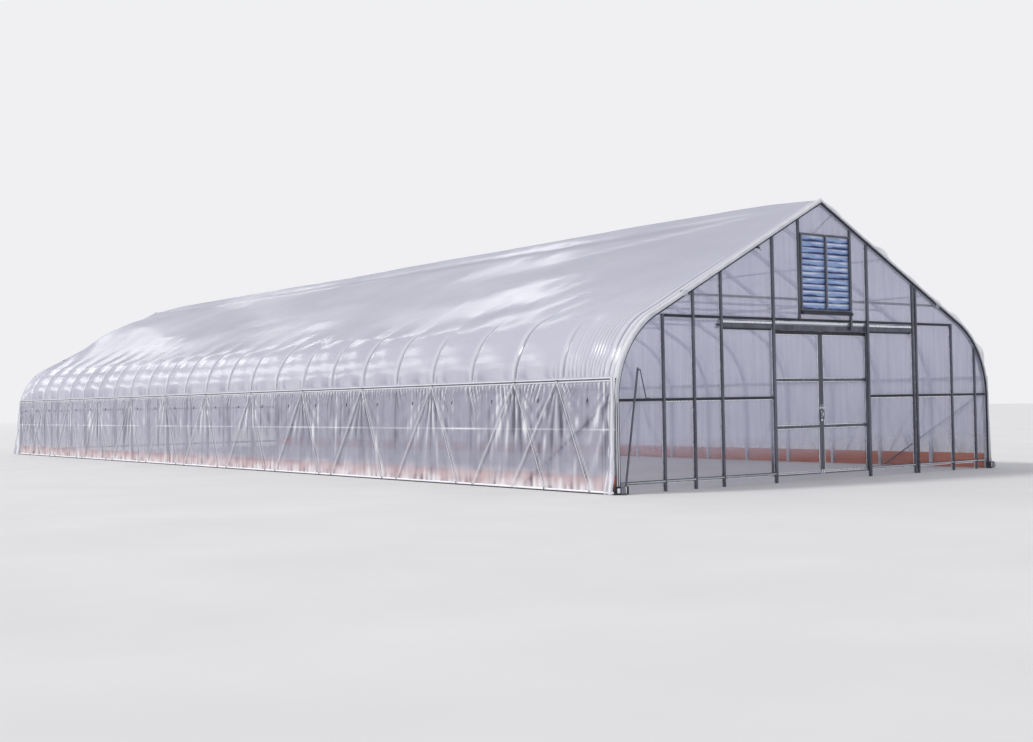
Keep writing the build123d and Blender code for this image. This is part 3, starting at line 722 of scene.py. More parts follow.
def bowCreases(run, side, y):
    # the crease along each bow above the hip with the swell between bows, and how much painted
    # shade lies along the crease and how much painted highlight on a line beside it
    nearest = nearestBow(y)
    aside = y - bowPlaces[nearest] - 0.05 * cloud(nearest * 3.1, side * 5.0, run * 1.4)
    strength = 1 + 0.7 * cloud(nearest * 1.7, side * 9.0, 2.0)
    inner = smoothStep(0.3, 0.9, fromEnds(y))
    held = smoothStep(0.0, 0.08, run) * (1 - smoothStep(0.5, 1.5 * strength, run)) * inner
    broad = film["creaseWidth"] * (1 + 0.5 * cloud(nearest * 2.9, run * 2, side))
    crease = -film["creaseDepth"] * strength * math.exp(-abs(aside) / broad) * held
    swell = film["bulge"] * math.sin(math.pi * (y - frontY) / bay) ** 2
    swell *= smoothStep(0.0, 0.3, run) * (1 - smoothStep(0.7, 2.2, run)) * inner
    line = bell(aside, film["creaseLine"]) * held * strength
    beside = bell(aside - 0.07, 0.035) * held * strength
    return crease + swell, line, beside


def endRipples(run, side, y):
    # ripples that run up along the end bows, and short gathers along the hip
    fromEnd = fromEnds(y)
    wobble = cloud(run * 1.3, y * 1.5, side * 4.0)
    drift = cloud(y * 5.0, side * 4.0, 6.0)
    spacing = film["ripple"] * (1.6 - 0.6 * smoothStep(0.0, 0.7, fromEnd))
    wave = math.cos(math.tau * fromEnd / spacing + 3.0 * wobble + 5.0 * drift)
    wave = 1 - 2 * abs((wave - 1) / 2) ** 3
    near = smoothStep(-0.02, 0.05, fromEnd) * (1 - smoothStep(0.1, 1.25, fromEnd))
    ripple = film["rippleDepth"] * wave * near * smoothStep(0.0, 0.05, run) * max(0.7 + 1.5 * drift, 0.1)
    ripple *= 1 - 0.85 * smoothStep(1.7, 4.2 + 1.2 * wobble, run + 1.6 * fromEnd)
    gather = math.cos(math.tau * y / film["gather"] + 5.0 * cloud(y * 2.0, side, 3.0))
    gather *= film["gatherDepth"] * math.exp(-run / 0.1) * smoothStep(0.0, 0.03, run)
    return ripple + gather


def slopeFolds(fromRidge, side, y):
    # folds that fan out from beside the ridge, over broad soft hollows
    fromEnd = fromEnds(y)
    spoke = fromRidge / (fromEnd + 2.5)
    fold = math.cos(math.tau * 3.0 * spoke + 1.5 * cloud(y * 0.12, side * 3.0, 7.0))
    fold *= smoothStep(0.2, 2.5, fromEnd) * (1 - smoothStep(7, 15, fromEnd))
    soft = cloud(fromRidge * 0.8, y * 0.16, side * 2.0)
    soft += 0.4 * cloud(fromRidge * 1.5, y * 0.55, side * 7.0)
    return film["foldDepth"] * (0.45 * fold + 0.9 * soft), soft


def slopeFilling(run, y):
    # how far the wind fills the slope, more towards the far end
    bend = 1 + 0.5 * smoothStep(0.0, 10.0, y)
    share = min(run / (film["bendRun"] + film["slopeRun"]), 1.0)
    filled = film["slopeSwell"] * math.sin(math.pi * share**bend) ** 2
    filled *= smoothStep(0.1, 4.0 - 2.4 * smoothStep(0.0, 8.0, y), fromEnds(y))
    return filled * (0.3 + 1.7 * smoothStep(0.0, 12.0, y))


def filmRelief(q, side, y):
    # how far the film stands off its plain section, in metres, and how much painted shade and how
    # much whiter film with painted highlight it has there, from 0 to 1
    run = film["bendRun"] * min(q, 1) + film["slopeRun"] * min(max(q - 1, 0), 1)
    fromRidge = film["bendRun"] + film["slopeRun"] - run
    fromEnd = fromEnds(y)
    fromFront = y - frontY
    creased, line, beside = bowCreases(run, side, y)
    rippled = endRipples(run, side, y)
    slack, soft = slopeFolds(fromRidge, side, y)
    ridgeFold = bell(fromRidge - film["ridgeFoldAway"] - 0.12 * soft, film["ridgeFoldWidth"])
    slack *= smoothStep(0.9, 1.8, run)
    slack -= film["ridgeFoldDepth"] * ridgeFold * smoothStep(0.8, 4.0, fromEnd)
    slack *= smoothStep(0.1, 0.9, fromEnd) * (1 - 0.7 * smoothStep(2.6, 3.0, q))
    mottle = film["mottle"] * cloud(run * 1.5, y * 1.1, side * 8.0)
    mottle *= smoothStep(0.3, 1.2, run) * smoothStep(0.5, 2.0, fromEnd)
    fine = film["fineDepth"] * cloud(run * 4, y * 3.2, side * 6.0)
    fine *= smoothStep(0, 0.2, run) * smoothStep(0.05, 0.3, fromEnd)
    waved = 1.3 * rippled / film["rippleDepth"]
    along = smoothStep(0.3, 2.0, fromEnd)
    fading = smoothStep(-0.3, 0.4, cloud(y * 0.35, side * 5.0, 31.0))
    # a line of painted highlight just below the ridge, which comes and goes along the house
    ridgeLine = bell(fromRidge - film["ridgeLineAway"] - 0.12 * soft, film["ridgeLineWidth"])
    # a ray of painted highlight that leaves the ridge at the front and slants down the slope
    reach = fromFront * math.tan(film["rayTurn"]) + film["rayStart"]
    ray = bell(fromRidge - reach - 0.1 * soft, 0.05 + 0.02 * reach)
    ray *= smoothStep(0.4, 2.0, fromFront) * (1 - smoothStep(3.5, 8.5, fromFront))
    shade = 0.12 * smoothStep(-8, -13, y) * smoothStep(1.5, 3.5, run)
    shade += 0.3 * ridgeFold * along * (1.2 - fading)
    # painted shade along the creases, in the ripples' troughs and in the shaded bands; painted highlight
    # beside the creases, on the ripples' ridges, along the film's ends, on the ridge line and on the ray
    paintedShade = 0.7 * line + max(-0.75 * waved, 0.0) + max(shade - 0.6 * ray, 0.0)
    paleFoldAndHighlight = 0.6 * beside + max(0.55 * waved, 0.0) + bell(fromEnd, film["endBand"])
    paleFoldAndHighlight += 0.7 * ridgeLine * along * fading + 0.45 * ray
    relief = creased + rippled + slack + slopeFilling(run, y) + mottle + fine
    return relief, (min(paintedShade, 1.0), min(paleFoldAndHighlight, 1.0))


def filmRows():
    # places along the house: close together at the ends, and beside each bow elsewhere
    start = frontY - film["overhang"]
    count = round(film["endRun"] / film["endStep"])
    ends = [start + film["endStep"] * i for i in range(count + 1)]
    besides = (0.0, 0.018, 0.04, 0.07, 0.11, 0.17, 0.26, 0.38, 0.5)
    signs = (-1, 1)
    middle = {round(bow + sign * off, 5) for bow in bowPlaces for off in besides for sign in signs}
    middle = {y for y in middle if ends[-1] + 0.01 < y < -ends[-1] - 0.01}
    return sorted(ends + [-y for y in ends] + list(middle))


def filmColumns():
    # the q and the side of each column, from the left hip over the ridge to the right hip
    counts = (film["bendColumns"], film["slopeColumns"], film["crownColumns"])
    steps = [part + i / count for part, count in enumerate(counts) for i in range(count)]
    return [(q, -1) for q in steps] + [(3.0, 1)] + [(q, 1) for q in reversed(steps)]


def makeRoofFilm():
    tight, swollen = filmSections()
    rows, columns = filmRows(), filmColumns()

    def pointAt(row, column):
        y = rows[row]
        q, side = columns[column]
        swellRun = film["swellRun"]
        swellRun += (film["farRidgeRun"] - swellRun) * smoothStep(1.3, 3.0, q) * smoothStep(0.0, 6.0, y)
        share = min(max((fromEnds(y) - halfBow) / swellRun, 0.0), 1.0)
        share = 1 - (1 - share) ** 2
        tightX, tightZ, tightAngle = sectionPoint(tight, q)
        swollenX, swollenZ, swollenAngle = sectionPoint(swollen, q)
        angle = tightAngle + (swollenAngle - tightAngle) * share
        relief, shares = filmRelief(q, side, y)
        x = tightX + (swollenX - tightX) * share + relief * math.cos(angle)
        z = tightZ + (swollenZ - tightZ) * share + relief * math.sin(angle)
        return (side * x if q < 3 else 0.0, y, z), shares

    size = (len(columns) - 1, len(rows) - 1)
    marks = ("paintedShade", "paleFoldAndHighlight")
    piece = makeSheet("roof_sheet", roofFilm, "roof_film", marks, *size, pointAt, ["roof_film"])


makeRoofFilm()
print("roof film made")


# Side curtains: film that hangs from the hip rail in pleats, fanned out from each cord hook

curtain = {
    "top": 1.668,
    "foot": 0.03,
    "topX": railOuter + 0.006,
    "footX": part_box("baseboards")[1].x + 0.016,
    "hookBays": 2,
    "firstHook": 1.34,
    "step": 0.03,
    "rows": 32,
    "girt": 0.95,
    "fanDepth": 0.013,
    "fanReach": 1.4,
    "gatherDepth": 0.012,
    "gather": 0.1,
    "softDepth": 0.012,
    "pleatDepth": 0.007,
    "footDepth": 0.009,
    "footPleat": 0.17,
    "footBand": 0.16,
    "pressDepth": 0.006,
    "offSlant": 0.012,
    "nearRun": 0.85,
    "farRun": 1.1,
    "clipHeight": 1.39,
    "legShadow": 0.03,
    "braceTop": 1.385,
    "braceRun": 2.25,
    "braceShadow": 0.028,
}
hookPlaces = [frontY + curtain["firstHook"]]
hookPlaces += [bowPlaces[i] for i in range(2, house["bayCount"], curtain["hookBays"])]
hookPlaces += [backY - curtain["firstHook"]]
anchorPlaces = [frontY] + hookPlaces + [backY]


def curtainShare(height):
    return (curtain["top"] - height) / (curtain["top"] - curtain["foot"])


def curtainX(share):
    # how far out the plain slant of the curtain is, at a share of its way down
    return curtain["topX"] + (curtain["footX"] - curtain["topX"]) * share


def cordFans(y, drop, share, side):
    # folds that fan out below each hook, how far the two cords press the film in, and the painted
    # highlight beside each cord
    fan = pressed = beside = 0.0
    for i, place in enumerate(anchorPlaces):
        away = y - place
        if abs(away) > curtain["fanReach"]:
            continue
        angle = math.atan2(away, drop + 0.04)
        twist = 1.6 * cloud(i * 2.3 + side, angle * 2.5, drop * 0.8)
        fade = 0.42 + 0.7 * math.exp(-drop / 0.45)
        folds = math.cos(angle * 21 + twist + i) * smoothStep(0.02, 0.25, drop)
        fan += bell(angle, 0.75) * fade * folds
        if place in hookPlaces:
            off = away - curtain["farRun"] * share
            pressed += bell(off + 0.02, 0.03)
            beside += 0.6 * bell(off - 0.05, 0.03)
            off = away + curtain["nearRun"] * share
            pressed += 1.2 * bell(off - 0.035, 0.025)
            beside += 0.8 * bell(off + 0.03, 0.025)
    return fan * curtain["fanDepth"], pressed, beside


def hipGathers(y, drop, side):
    # short close folds just under the hip rail, in groups
    shift = 2.2 * cloud(y * 2.6, side * 3.0, 1.0)
    leaning = y + 1.1 * drop * cloud(y * 1.3, side, 27.0)
    gather = math.cos(math.tau * leaning / curtain["gather"] + shift)
    gather += 0.6 * math.cos(math.tau * leaning / (0.57 * curtain["gather"]) - 2 * shift)
    reach = 0.17 + 0.28 * cloud(y * 2.3, side, 4.0)
    grouped = smoothStep(-0.25, 0.3, cloud(y * 1.4, side * 2.0, 15.0))
    gather *= curtain["gatherDepth"] * math.exp(-drop / max(reach, 0.06)) * smoothStep(0.0, 0.03, drop)
    return gather * (0.4 + 0.6 * grouped)


def softFolds(y, drop, side):
    # broad soft folds down the curtain, and narrower upright ones where it is slack
    soft = cloud(y * 2.6, drop * 0.9, side * 5.0) + 0.6 * cloud(y * 6.5, drop * 1.3, side * 8.0)
    soft *= curtain["softDepth"] * smoothStep(0.05, 0.4, drop)
    slack = smoothStep(-0.15, 0.35, cloud(y * 0.45, side * 3.0, 12.0))
    upright = cloud(y * 13.0, drop * 0.5, side * 2.0) * (0.4 + 0.3 * slack)
    return soft, upright * curtain["pleatDepth"] * 2 * smoothStep(0.02, 0.2, drop)


def footPleats(y, height, side):
    slant = y + 0.5 * height * cloud(y * 0.8, side * 2.0, 21.0)
    turn = math.tau * slant / curtain["footPleat"] + 7.0 * cloud(slant * 1.7, side, 9.0)
    pleat = math.cos(turn) * smoothStep(-0.35, 0.25, cloud(y * 1.2, side * 6.0, 18.0))
    return pleat * curtain["footDepth"] * math.exp(-(height - curtain["foot"]) / curtain["footBand"])


def tubeShadows(y, height, drop):
    # how dark the legs and the slanting end braces make the film in front of them
    leg = bell(y - bowPlaces[nearestBow(y)], curtain["legShadow"]) * (1 - 0.6 * smoothStep(0.5, 1.3, drop))
    fromEnd = fromEnds(y)
    braceHeight = curtain["braceTop"] - (fromEnd - 0.045) * curtain["braceTop"] / curtain["braceRun"]
    brace = bell(height - braceHeight, curtain["braceShadow"]) * (1 - 0.5 * smoothStep(0.4, 2.2, fromEnd))
    return (0.55 * leg + 0.8 * brace) * smoothStep(0.03, 0.12, drop)


def curtainRelief(y, height, side):
    # how far the film stands out from its plain slant, in metres, and how much painted shade, how
    # much whiter film with painted highlight and how much of the soiled foot it has there, from 0 to 1
    drop = curtain["top"] - height
    fromEnd = fromEnds(y)
    fan, pressed, beside = cordFans(y, drop, curtainShare(height), side)
    gather = hipGathers(y, drop, side)
    soft, upright = softFolds(y, drop, side)
    pleat = footPleats(y, height, side)
    out = fan + gather + soft + pleat + upright
    out -= curtain["pressDepth"] * pressed * smoothStep(0.05, 0.2, drop)
    mark = 1.2 * fan / curtain["fanDepth"] + 1.7 * gather / curtain["gatherDepth"]
    mark += 0.6 * soft / curtain["softDepth"] + 0.9 * upright / curtain["pleatDepth"]
    mark *= 1 - 0.45 * smoothStep(0.7, 1.1, drop)
    mark += 1.2 * pleat / curtain["footDepth"]
    mark += 1.2 * math.cos(math.tau * fromEnd / 0.07 + 3.0 * soft) * math.exp(-fromEnd / 0.16)
    touch = bell(height - curtain["girt"], 0.012) * (0.45 + 0.9 * cloud(y * 0.7, side * 4.0, 2.0))
    foam = max(0.4 + 0.9 * cloud(y * 4.0, height * 6.0, side * 3.0), 0.0)
    # whiter, less clear film with painted highlight on the folds' ridges, painted highlight beside the
    # cords, a white line where the film touches the girt and white flecks at the foot; painted shade in
    # the folds' hollows, where the cords press in and where the tubes behind cast shadow
    paleFoldAndHighlight = 0.95 * smoothStep(0.15, 1.3, mark) + 0.5 * beside + max(touch, 0.0)
    paleFoldAndHighlight += foam * math.exp(-(height - curtain["foot"]) / curtain["footBand"])
    paintedShade = 0.9 * smoothStep(0.1, 1.1, -mark) + 0.55 * pressed * smoothStep(0.02, 0.1, drop)
    paintedShade += tubeShadows(y, height, drop)
    ragged = height + 0.08 * cloud(y * 3.0, side, 8.0)
    skirt = 0.8 * (1 - smoothStep(0.13, 0.36, ragged))
    out = max(out + curtain["offSlant"], 0.002) * smoothStep(0.0, 0.03, drop)
    return out, (min(paintedShade, 1.0), min(paleFoldAndHighlight, 1.0), skirt)


def curtainHeights():
    # heights of the rows, closer together at the hip and at the girt
    high, low, girt = curtain["top"], curtain["foot"], curtain["girt"]
    shares = [i / curtain["rows"] for i in range(curtain["rows"] + 1)]
    heights = [high - (high - low) * (0.55 * share + 0.45 * share**1.8) for share in shares]
    heights = [z for z in heights if abs(z - girt) > 0.03]
    return sorted(heights + [girt + d for d in (-0.024, -0.01, 0.0, 0.01, 0.024)], reverse=True)


def makeCurtain(name, side):
    columns = round((backY - frontY) / curtain["step"])
    heights = curtainHeights()

    def pointAt(row, column):
        y = frontY + (backY - frontY) * column / columns
        height = heights[row]
        relief, shares = curtainRelief(y, height, side)
        return (side * (curtainX(curtainShare(height)) + relief), y, height), shares

    size = (columns, len(heights) - 1)
    marks = ("paintedShade", "paleFoldAndHighlight", "skirt")
    piece = makeSheet(f"{name}_sheet", sideFilm, "side_film", marks, *size, pointAt, [name])


def makeCurtainClips():
    # dark clips that pinch the film half-way along each bay, each made of three small blocks
    form = bmesh.new()
    for i in range(house["bayCount"]):
        y = bowPlaces[i] + bay * (0.5 + 0.1 * cloud(i * 1.9, 3.0, 0.0))
        for side in (-1, 1):
            height = curtain["clipHeight"] + 0.02 * cloud(i * 2.7, side, 5.0)
            x = curtainX(curtainShare(height)) + curtainRelief(y, height, side)[0]
            near, far = sorted((side * (x - 0.006), side * (x + 0.009)))
            for along, up, half in ((0.0, 0.0, 0.016), (0.008, -0.024, 0.009), (-0.01, 0.02, 0.009)):
                low = (near, y + along - half / 2, height + up - half)
                addBlock(form, low, (far, y + along + half / 2, height + up + half), 0.003)
    finishPiece("curtain_clips", form, mouldedNylon, "house")


rope = {"radius": 0.005, "knotRadius": 0.011, "knotEnd": 0.007, "top": 1.689, "foot": 0.031}


def makeRopes(name, side, replaced):
    # the hold-down cords as braided rope, with a knot at each end
    form = bmesh.new()
    cordLow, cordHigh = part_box(replaced)
    inner, outer = sorted((abs(cordLow.x), abs(cordHigh.x)))
    for place in hookPlaces:
        for runs in (-curtain["nearRun"], curtain["farRun"]):
            top = Vector((side * (inner + 0.004), place + math.copysign(0.006, runs), rope["top"]))
            foot = Vector((side * (outer - 0.004), place + runs, rope["foot"]))
            addRod(form, top, foot, rope["radius"], 6)
            for end, inward in ((top, foot), (foot, top)):
                along = (inward - end).normalized()
                knot = (end + along * 0.004, end + along * 0.028)
                addRod(form, *knot, rope["knotRadius"], 6, rope["knotEnd"])
    finishPiece(name, form, braidedCord, "house", [replaced])


makeCurtain("left_curtain", -1)
makeCurtain("right_curtain", 1)
makeCurtainClips()
makeRopes("left_ropes", -1, "left_cords")
makeRopes("right_ropes", 1, "right_cords")
print("curtains made")


# Bends of the bows, as smooth as the rolled tube is

def makeBends():
    form = bmesh.new()
    for y in bowPlaces:
        ring = [
            form.verts.new((halfWidth + across * halfBow, y + along * halfBow, legHeight))
            for across, along in ((-1, -1), (1, -1), (1, 1), (-1, 1))
        ]
        edges = [form.edges.new((ring[i - 1], ring[i])) for i in range(4)]
        bmesh.ops.spin(
            form,
            geom=ring + edges,
            cent=(bendX, 0, legHeight),
            axis=(0, -1, 0),
            angle=bendTurn,
            steps=20,
        )
    addBothSides(form)
    bends = ["bow_lower_bends", "bow_middle_bends", "bow_upper_bends"]
    finishPiece("bow_bends", form, litSteel, "house", bends, 50)


makeBends()
print("bends made")


# Film locks: the channels that hold the film along the hips and round the end bows

lock = {
    "hipLow": 1.664,
    "hipHigh": 1.722,
    "hipLip": 0.017,
    "hipDepth": 0.012,
    "archFoot": 0.02,
    "trimInner": -0.031,
    "trimDepth": 0.004,
    "skinDepth": 0.016,
    "channelDepth": 0.01,
    "legTrimTop": 1.34,
}


def makeHipLocks():
    # two lips along each hip rail, with a dark groove between them where the wire lies in painted
    # shade, and a dark strip below them that is painted shadow
    near, front, back = railOuter + clearance, frontY - halfBow, backY + halfBow
    low, high, lip = lock["hipLow"], lock["hipHigh"], lock["hipLip"]
    form = bmesh.new()
    for foot, top in ((high - lip, high), (low, low + lip)):
        addBlock(form, (near, front, foot), (near + lock["hipDepth"], back, top), 0.002)
    addBothSides(form)
    finishPiece("hip_locks", form, powderCoat, "house")
    form = bmesh.new()
    # the groove, then a strip of painted shadow under the lower lip
    for foot, top, depth in ((low + lip, high - lip, 0.003), (low - 0.014, low - 0.001, 0.004)):
        addBlock(form, (near, front, foot), (near + depth, back, top))
    addBothSides(form)
    finishPiece("hip_lock_grooves_and_shadow", form, weatheredAndShadedSteel, "house")


def addHalfArch(name, side, corners, finish):
    # an arch bar on one side of the house only
    form = bmesh.new()
    addArch(form, corners, lock["archFoot"])
    bmesh.ops.scale(form, vec=(side, 1, 1), verts=form.verts[:])
    bmesh.ops.recalc_face_normals(form, faces=form.faces[:])
    finishPiece(name, form, finish, "house")


def archPoint(run, offset):
    # place across and up of the line that runs outside a bow's centre line by offset, at run
    # metres from the ground along the bow
    if run <= legHeight:
        return halfWidth + offset, run
    angle = min((run - legHeight) / house["bendRadius"], bendTurn)
    radius = house["bendRadius"] + offset
    rest = max(run - legHeight - house["bendRadius"] * bendTurn, 0.0)
    x = bendX + radius * math.cos(angle) - rest * math.cos(slope)
    return max(x, 0.0), legHeight + radius * math.sin(angle) + rest * math.sin(slope)


# Width is measured outwards from a bow's centre line; inner is where the film starts on the
# left bows, on the right bows and on the legs
edge = {
    "outer": 0.063,
    "leftInner": -0.008,
    "rightInner": 0.018,
    "legInner": 0.02,
    "leftLoose": 0.015,
    "rightLoose": 0.1,
    "foot": 0.02,
    "rows": 220,
    "columns": 6,
}


def makeEdgeFilm(name, side, face, away, inner, loose):
    # the roof film where it is folded over an end bow and held there, loose along its edge
    whole = legHeight + house["bendRadius"] * bendTurn
    whole += (bendX + house["bendRadius"] * math.cos(bendTurn)) / math.cos(slope) + 0.05

    def pointAt(row, column):
        run = edge["foot"] + (whole - edge["foot"]) * row / edge["rows"]
        across = column / edge["columns"]
        puff = max(cloud(run * 2.1, side * 3.0, away * 5.0), 0.0) * smoothStep(1.6, 2.4, run)
        crinkle = cloud(run * 5.0, side * 4.0, away * 2.0)
        fold = cloud(run * 2.0, across * 3.0, side * 6.0 + away)
        narrow = 1 - smoothStep(1.3, 1.55, run)
        outer = edge["outer"] + 0.008 * crinkle + loose * puff - 0.02 * narrow
        start = inner + (edge["legInner"] - inner) * narrow
        x, z = archPoint(run, start + (outer - start) * across)
        y = face + away * (0.007 + 0.004 * fold + 0.004 * across + 0.5 * loose * puff * across)
        # a line of painted shade along the fold, and whiter film with painted highlight that comes and
        # goes with the crinkles
        return (side * x, y, z), (0.9 * bell(across - 0.55 - 0.4 * fold, 0.1), 0.6 + 0.6 * crinkle)

    size = (edge["columns"], edge["rows"])
    piece = makeSheet(name, foldedFilm, "roof_film", ("paintedShade", "paleFoldAndHighlight"), *size, pointAt)


def makeArchLocks():
    # film over each end bow, the lock that holds it, and the shaded face of the bow inside it
    ends = (("front", frontY - halfBow, -1), ("back", backY + halfBow, 1))
    for end, face, away in ends:
        for side, sideName in ((-1, "left"), (1, "right")):
            place = f"{end}_{sideName}"
            inner = edge[f"{sideName}Inner"]
            makeEdgeFilm(f"{place}_edge_film", side, face, away, inner, edge[f"{sideName}Loose"])
            skin = face + away * lock["skinDepth"]
            top = skin + away * lock["channelDepth"]
            low, high = inner + 0.004, inner + 0.02
            corners = [(low, skin), (high, skin), (high - 0.004, top), (low + 0.004, top)]
            addHalfArch(f"{place}_arch_lock", side, corners, foldedFilm)
            trim = face + away * lock["trimDepth"]
            start = lock["trimInner"]
            corners = [(start, face), (low, face), (low, trim), (start, trim)]
            addHalfArch(f"{place}_arch_trim", side, corners, shadedSteel)
    form = bmesh.new()
    for end, face, away in ends:
        near, far = sorted((face + away * lock["trimDepth"], face + away * clearance))
        low = (halfWidth, near, lock["archFoot"])
        addBlock(form, low, (halfWidth + edge["legInner"], far, lock["legTrimTop"]))
    addBothSides(form)
    finishPiece("leg_trims", form, shadedSteel, "house")


bracket = {"halfWidth": 0.05, "below": 0.04, "above": 0.05, "thickness": 0.005}
bolt = {"aside": 0.025, "radius": 0.008, "reach": 0.012}


def makeTieBrackets():
    # bolted plates where the ties meet the rafters
    form = bmesh.new()
    tieLow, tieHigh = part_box("collar_ties")
    middle = (tieLow.z + tieHigh.z) / 2
    x = (ridgeHeight - middle) / math.tan(slope)
    left, right = x - bracket["halfWidth"], x + bracket["halfWidth"]
    for y in bowPlaces:
        for sign in (-1, 1):
            inner, outer = y + sign * (halfBow + clearance), y + sign * (halfBow + bracket["thickness"])
            near, far = sorted((inner, outer))
            low = (left, near, middle - bracket["below"])
            addBlock(form, low, (right, far, middle + bracket["above"]), 0.002)
            for across in (-bolt["aside"], bolt["aside"]):
                height = middle - across * 0.5
                end = (x + across, y + sign * (halfBow + bolt["reach"]), height)
                addRod(form, (x + across, outer, height), end, bolt["radius"], 6)
    addBothSides(form)
    finishPiece("tie_brackets", form, galvanisedSteel, "house")


gear = {
    # across the gear from its left side, foot and top, how far it stands out, and bevel
    "caps": [(0.008, 0.06, 0.03, 0.1, 0.016, 0.006), (0.165, 0.182, 0.02, 0.118, 0.014, 0.003)],
    "plates": [(0.085, 0.112, 0.014, 0.116, 0.012, 0.003), (0.122, 0.15, 0.014, 0.116, 0.012, 0.003)],
    "boltHeights": (0.035, 0.095),
    "boltReach": 0.02,
}


def addGearPlates(form, plates):
    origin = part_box("roll_up_gears")[0]
    for left, right, foot, top, depth, bevel in plates:
        low = (origin.x + left, origin.y - depth, foot)
        addBlock(form, low, (origin.x + right, origin.y - clearance, top), bevel)


def makeGearFittings():
    # white and bare plates and bolts on the roll-up gears
    form = bmesh.new()
    addGearPlates(form, gear["caps"])
    addBothSides(form)
    finishPiece("gear_caps", form, powderCoat, "house")
    form = bmesh.new()
    addGearPlates(form, gear["plates"])
    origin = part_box("roll_up_gears")[0]
    for left, right, foot, top, depth, bevel in gear["plates"]:
        middle = origin.x + (left + right) / 2
        for height in gear["boltHeights"]:
            start = (middle, origin.y - depth, height)
            addRod(form, start, (middle, origin.y - gear["boltReach"], height), bolt["radius"], 6)
    addBothSides(form)
    finishPiece("gear_plates", form, galvanisedSteel, "house")


makeHipLocks()
makeArchLocks()
makeTieBrackets()
makeGearFittings()
print("film locks made")


# Gable edge strips: pale beads beside each post and rail, where the clear sheets are held

gable = {
    "postHalf": 0.02,
    "jambHalf": 0.025,
    "posts": [-2.98, -2.37, 2.435, 2.525, 4.25],
    "jambs": [-1.175, 1.19],
    "headerEnds": [-3.62, 3.55],
    "shutterPosts": [-0.54, 0.76],
    "shutterFoot": 2.68,
    "headerHeight": 2.655,
    "middleRail": 1.38,
    "bottomRail": 0.15,
    "railFaceHalf": 0.012,
    "backPosts": [-3.62, -2.4, -1.2, 0.0, 1.2, 2.4, 3.62],
    "bays": [
        (-3.62, -2.98),
        (-2.98, -2.37),
        (-2.37, -1.18),
        (1.195, 2.435),
        (2.525, 3.55),
        (3.55, 4.25),
    ],
    "endBays": [(-4.56, -3.62), (4.25, 4.56)],
    "beadWidth": 0.015,
    "beadDepth": 0.014,
    "screwPitch": 0.32,
    "screwFoot": 0.25,
    "screwTop": 4.0,
    "screwRadius": 0.007,
    "clamp": -1.54,
}


def addUprightBeads(form, spans, sheet, front):
    # a bead on each side of every post, as (middle, half width, foot, top or none)
    near, far = sorted((front, sheet))
    for x, half, low, high in spans:
        for sign in (-1, 1):
            if x in gable["jambs"] and sign * x < 0:
                low = gable["headerHeight"] + 0.02
            inner = x + sign * half
            outer = inner + sign * gable["beadWidth"]
            top = archHeight(max(abs(inner), abs(outer)), -halfBow - 0.004)
            if high:
                top = min(high, top)
            addBlock(form, (min(inner, outer), near, low), (max(inner, outer), far, top), 0.002)


def makeGableBeads():
    form = bmesh.new()
    sheet = frontY + gable["postHalf"]
    front = sheet - gable["beadDepth"]
    spans = [(x, gable["postHalf"], 0.0, None) for x in gable["posts"]]
    spans += [(x, gable["jambHalf"], 0.0, None) for x in gable["jambs"]]
    spans += [(x, gable["postHalf"], 0.0, gable["headerHeight"]) for x in gable["headerEnds"]]
    spans += [(x, gable["postHalf"], gable["shutterFoot"], None) for x in gable["shutterPosts"]]
    addUprightBeads(form, spans, sheet, front)
    clear = gable["postHalf"] + gable["beadWidth"]
    for left, right in gable["bays"]:
        for height in (gable["middleRail"], gable["bottomRail"]):
            top = height - gable["postHalf"]
            low = (left + clear, front, top - gable["beadWidth"])
            addBlock(form, low, (right - clear, sheet, top), 0.002)
    finishPiece("gable_beads", form, brightAluminium, "house")
    form = bmesh.new()
    sheet = backY - gable["postHalf"]
    spans = [(x, gable["postHalf"], 0.0, None) for x in gable["backPosts"]]
    addUprightBeads(form, spans, sheet, sheet + gable["beadDepth"])
    finishPiece("back_gable_beads", form, brightAluminium, "house")


def makeRailFaces():
    # the bottom rail's face, which catches the light
    form = bmesh.new()
    face = frontY - gable["postHalf"]
    foot, top = (gable["bottomRail"] + sign * gable["railFaceHalf"] for sign in (-1, 1))
    for left, right in gable["bays"] + gable["endBays"]:
        low = (left + gable["postHalf"], face - 0.003, foot)
        addBlock(form, low, (right - gable["postHalf"], face - clearance, top), 0.001)
    finishPiece("bottom_rail_faces", form, litSteel, "house")


def makeGableScrews():
    # screw heads down the beads, and a dark clamp on the left end bow
    form = bmesh.new()
    face = frontY - gable["postHalf"]
    for x in gable["posts"] + gable["jambs"] + gable["headerEnds"]:
        top = min(archHeight(abs(x), -halfBow) - 0.1, gable["screwTop"])
        for i in range(int(top / gable["screwPitch"])):
            height = gable["screwFoot"] + gable["screwPitch"] * i
            ends = ((x, face - clearance, height), (x, face - 0.005, height))
            addRod(form, *ends, gable["screwRadius"], 6, 0.005)
    finishPiece("gable_screws", form, galvanisedSteel, "house")
    form = bmesh.new()
    x = gable["clamp"]
    height = slopeHeight(x, -halfBow) - 0.01
    front = frontY - halfBow
    low = (x - 0.035, front - 0.03, height - 0.018)
    addBlock(form, low, (x + 0.03, front - clearance, height + 0.016), 0.004)
    ends = ((x - 0.005, front - 0.03, height - 0.012), (x + 0.035, front - 0.045, height - 0.05))
    addRod(form, *ends, 0.005, 8)
    finishPiece("rafter_clamp", form, mouldedNylon, "house")


# The door track's cover, and how far it keeps from the posts and jambs beside it
track = {
    "low": 2.49,
    "high": 2.585,
    "postGap": 0.036,
    "jambGap": 0.041,
    "flatness": 0.6,
    "stripFoot": 2.588,
    "stripTop": 2.628,
    "stubAway": 0.05,
}


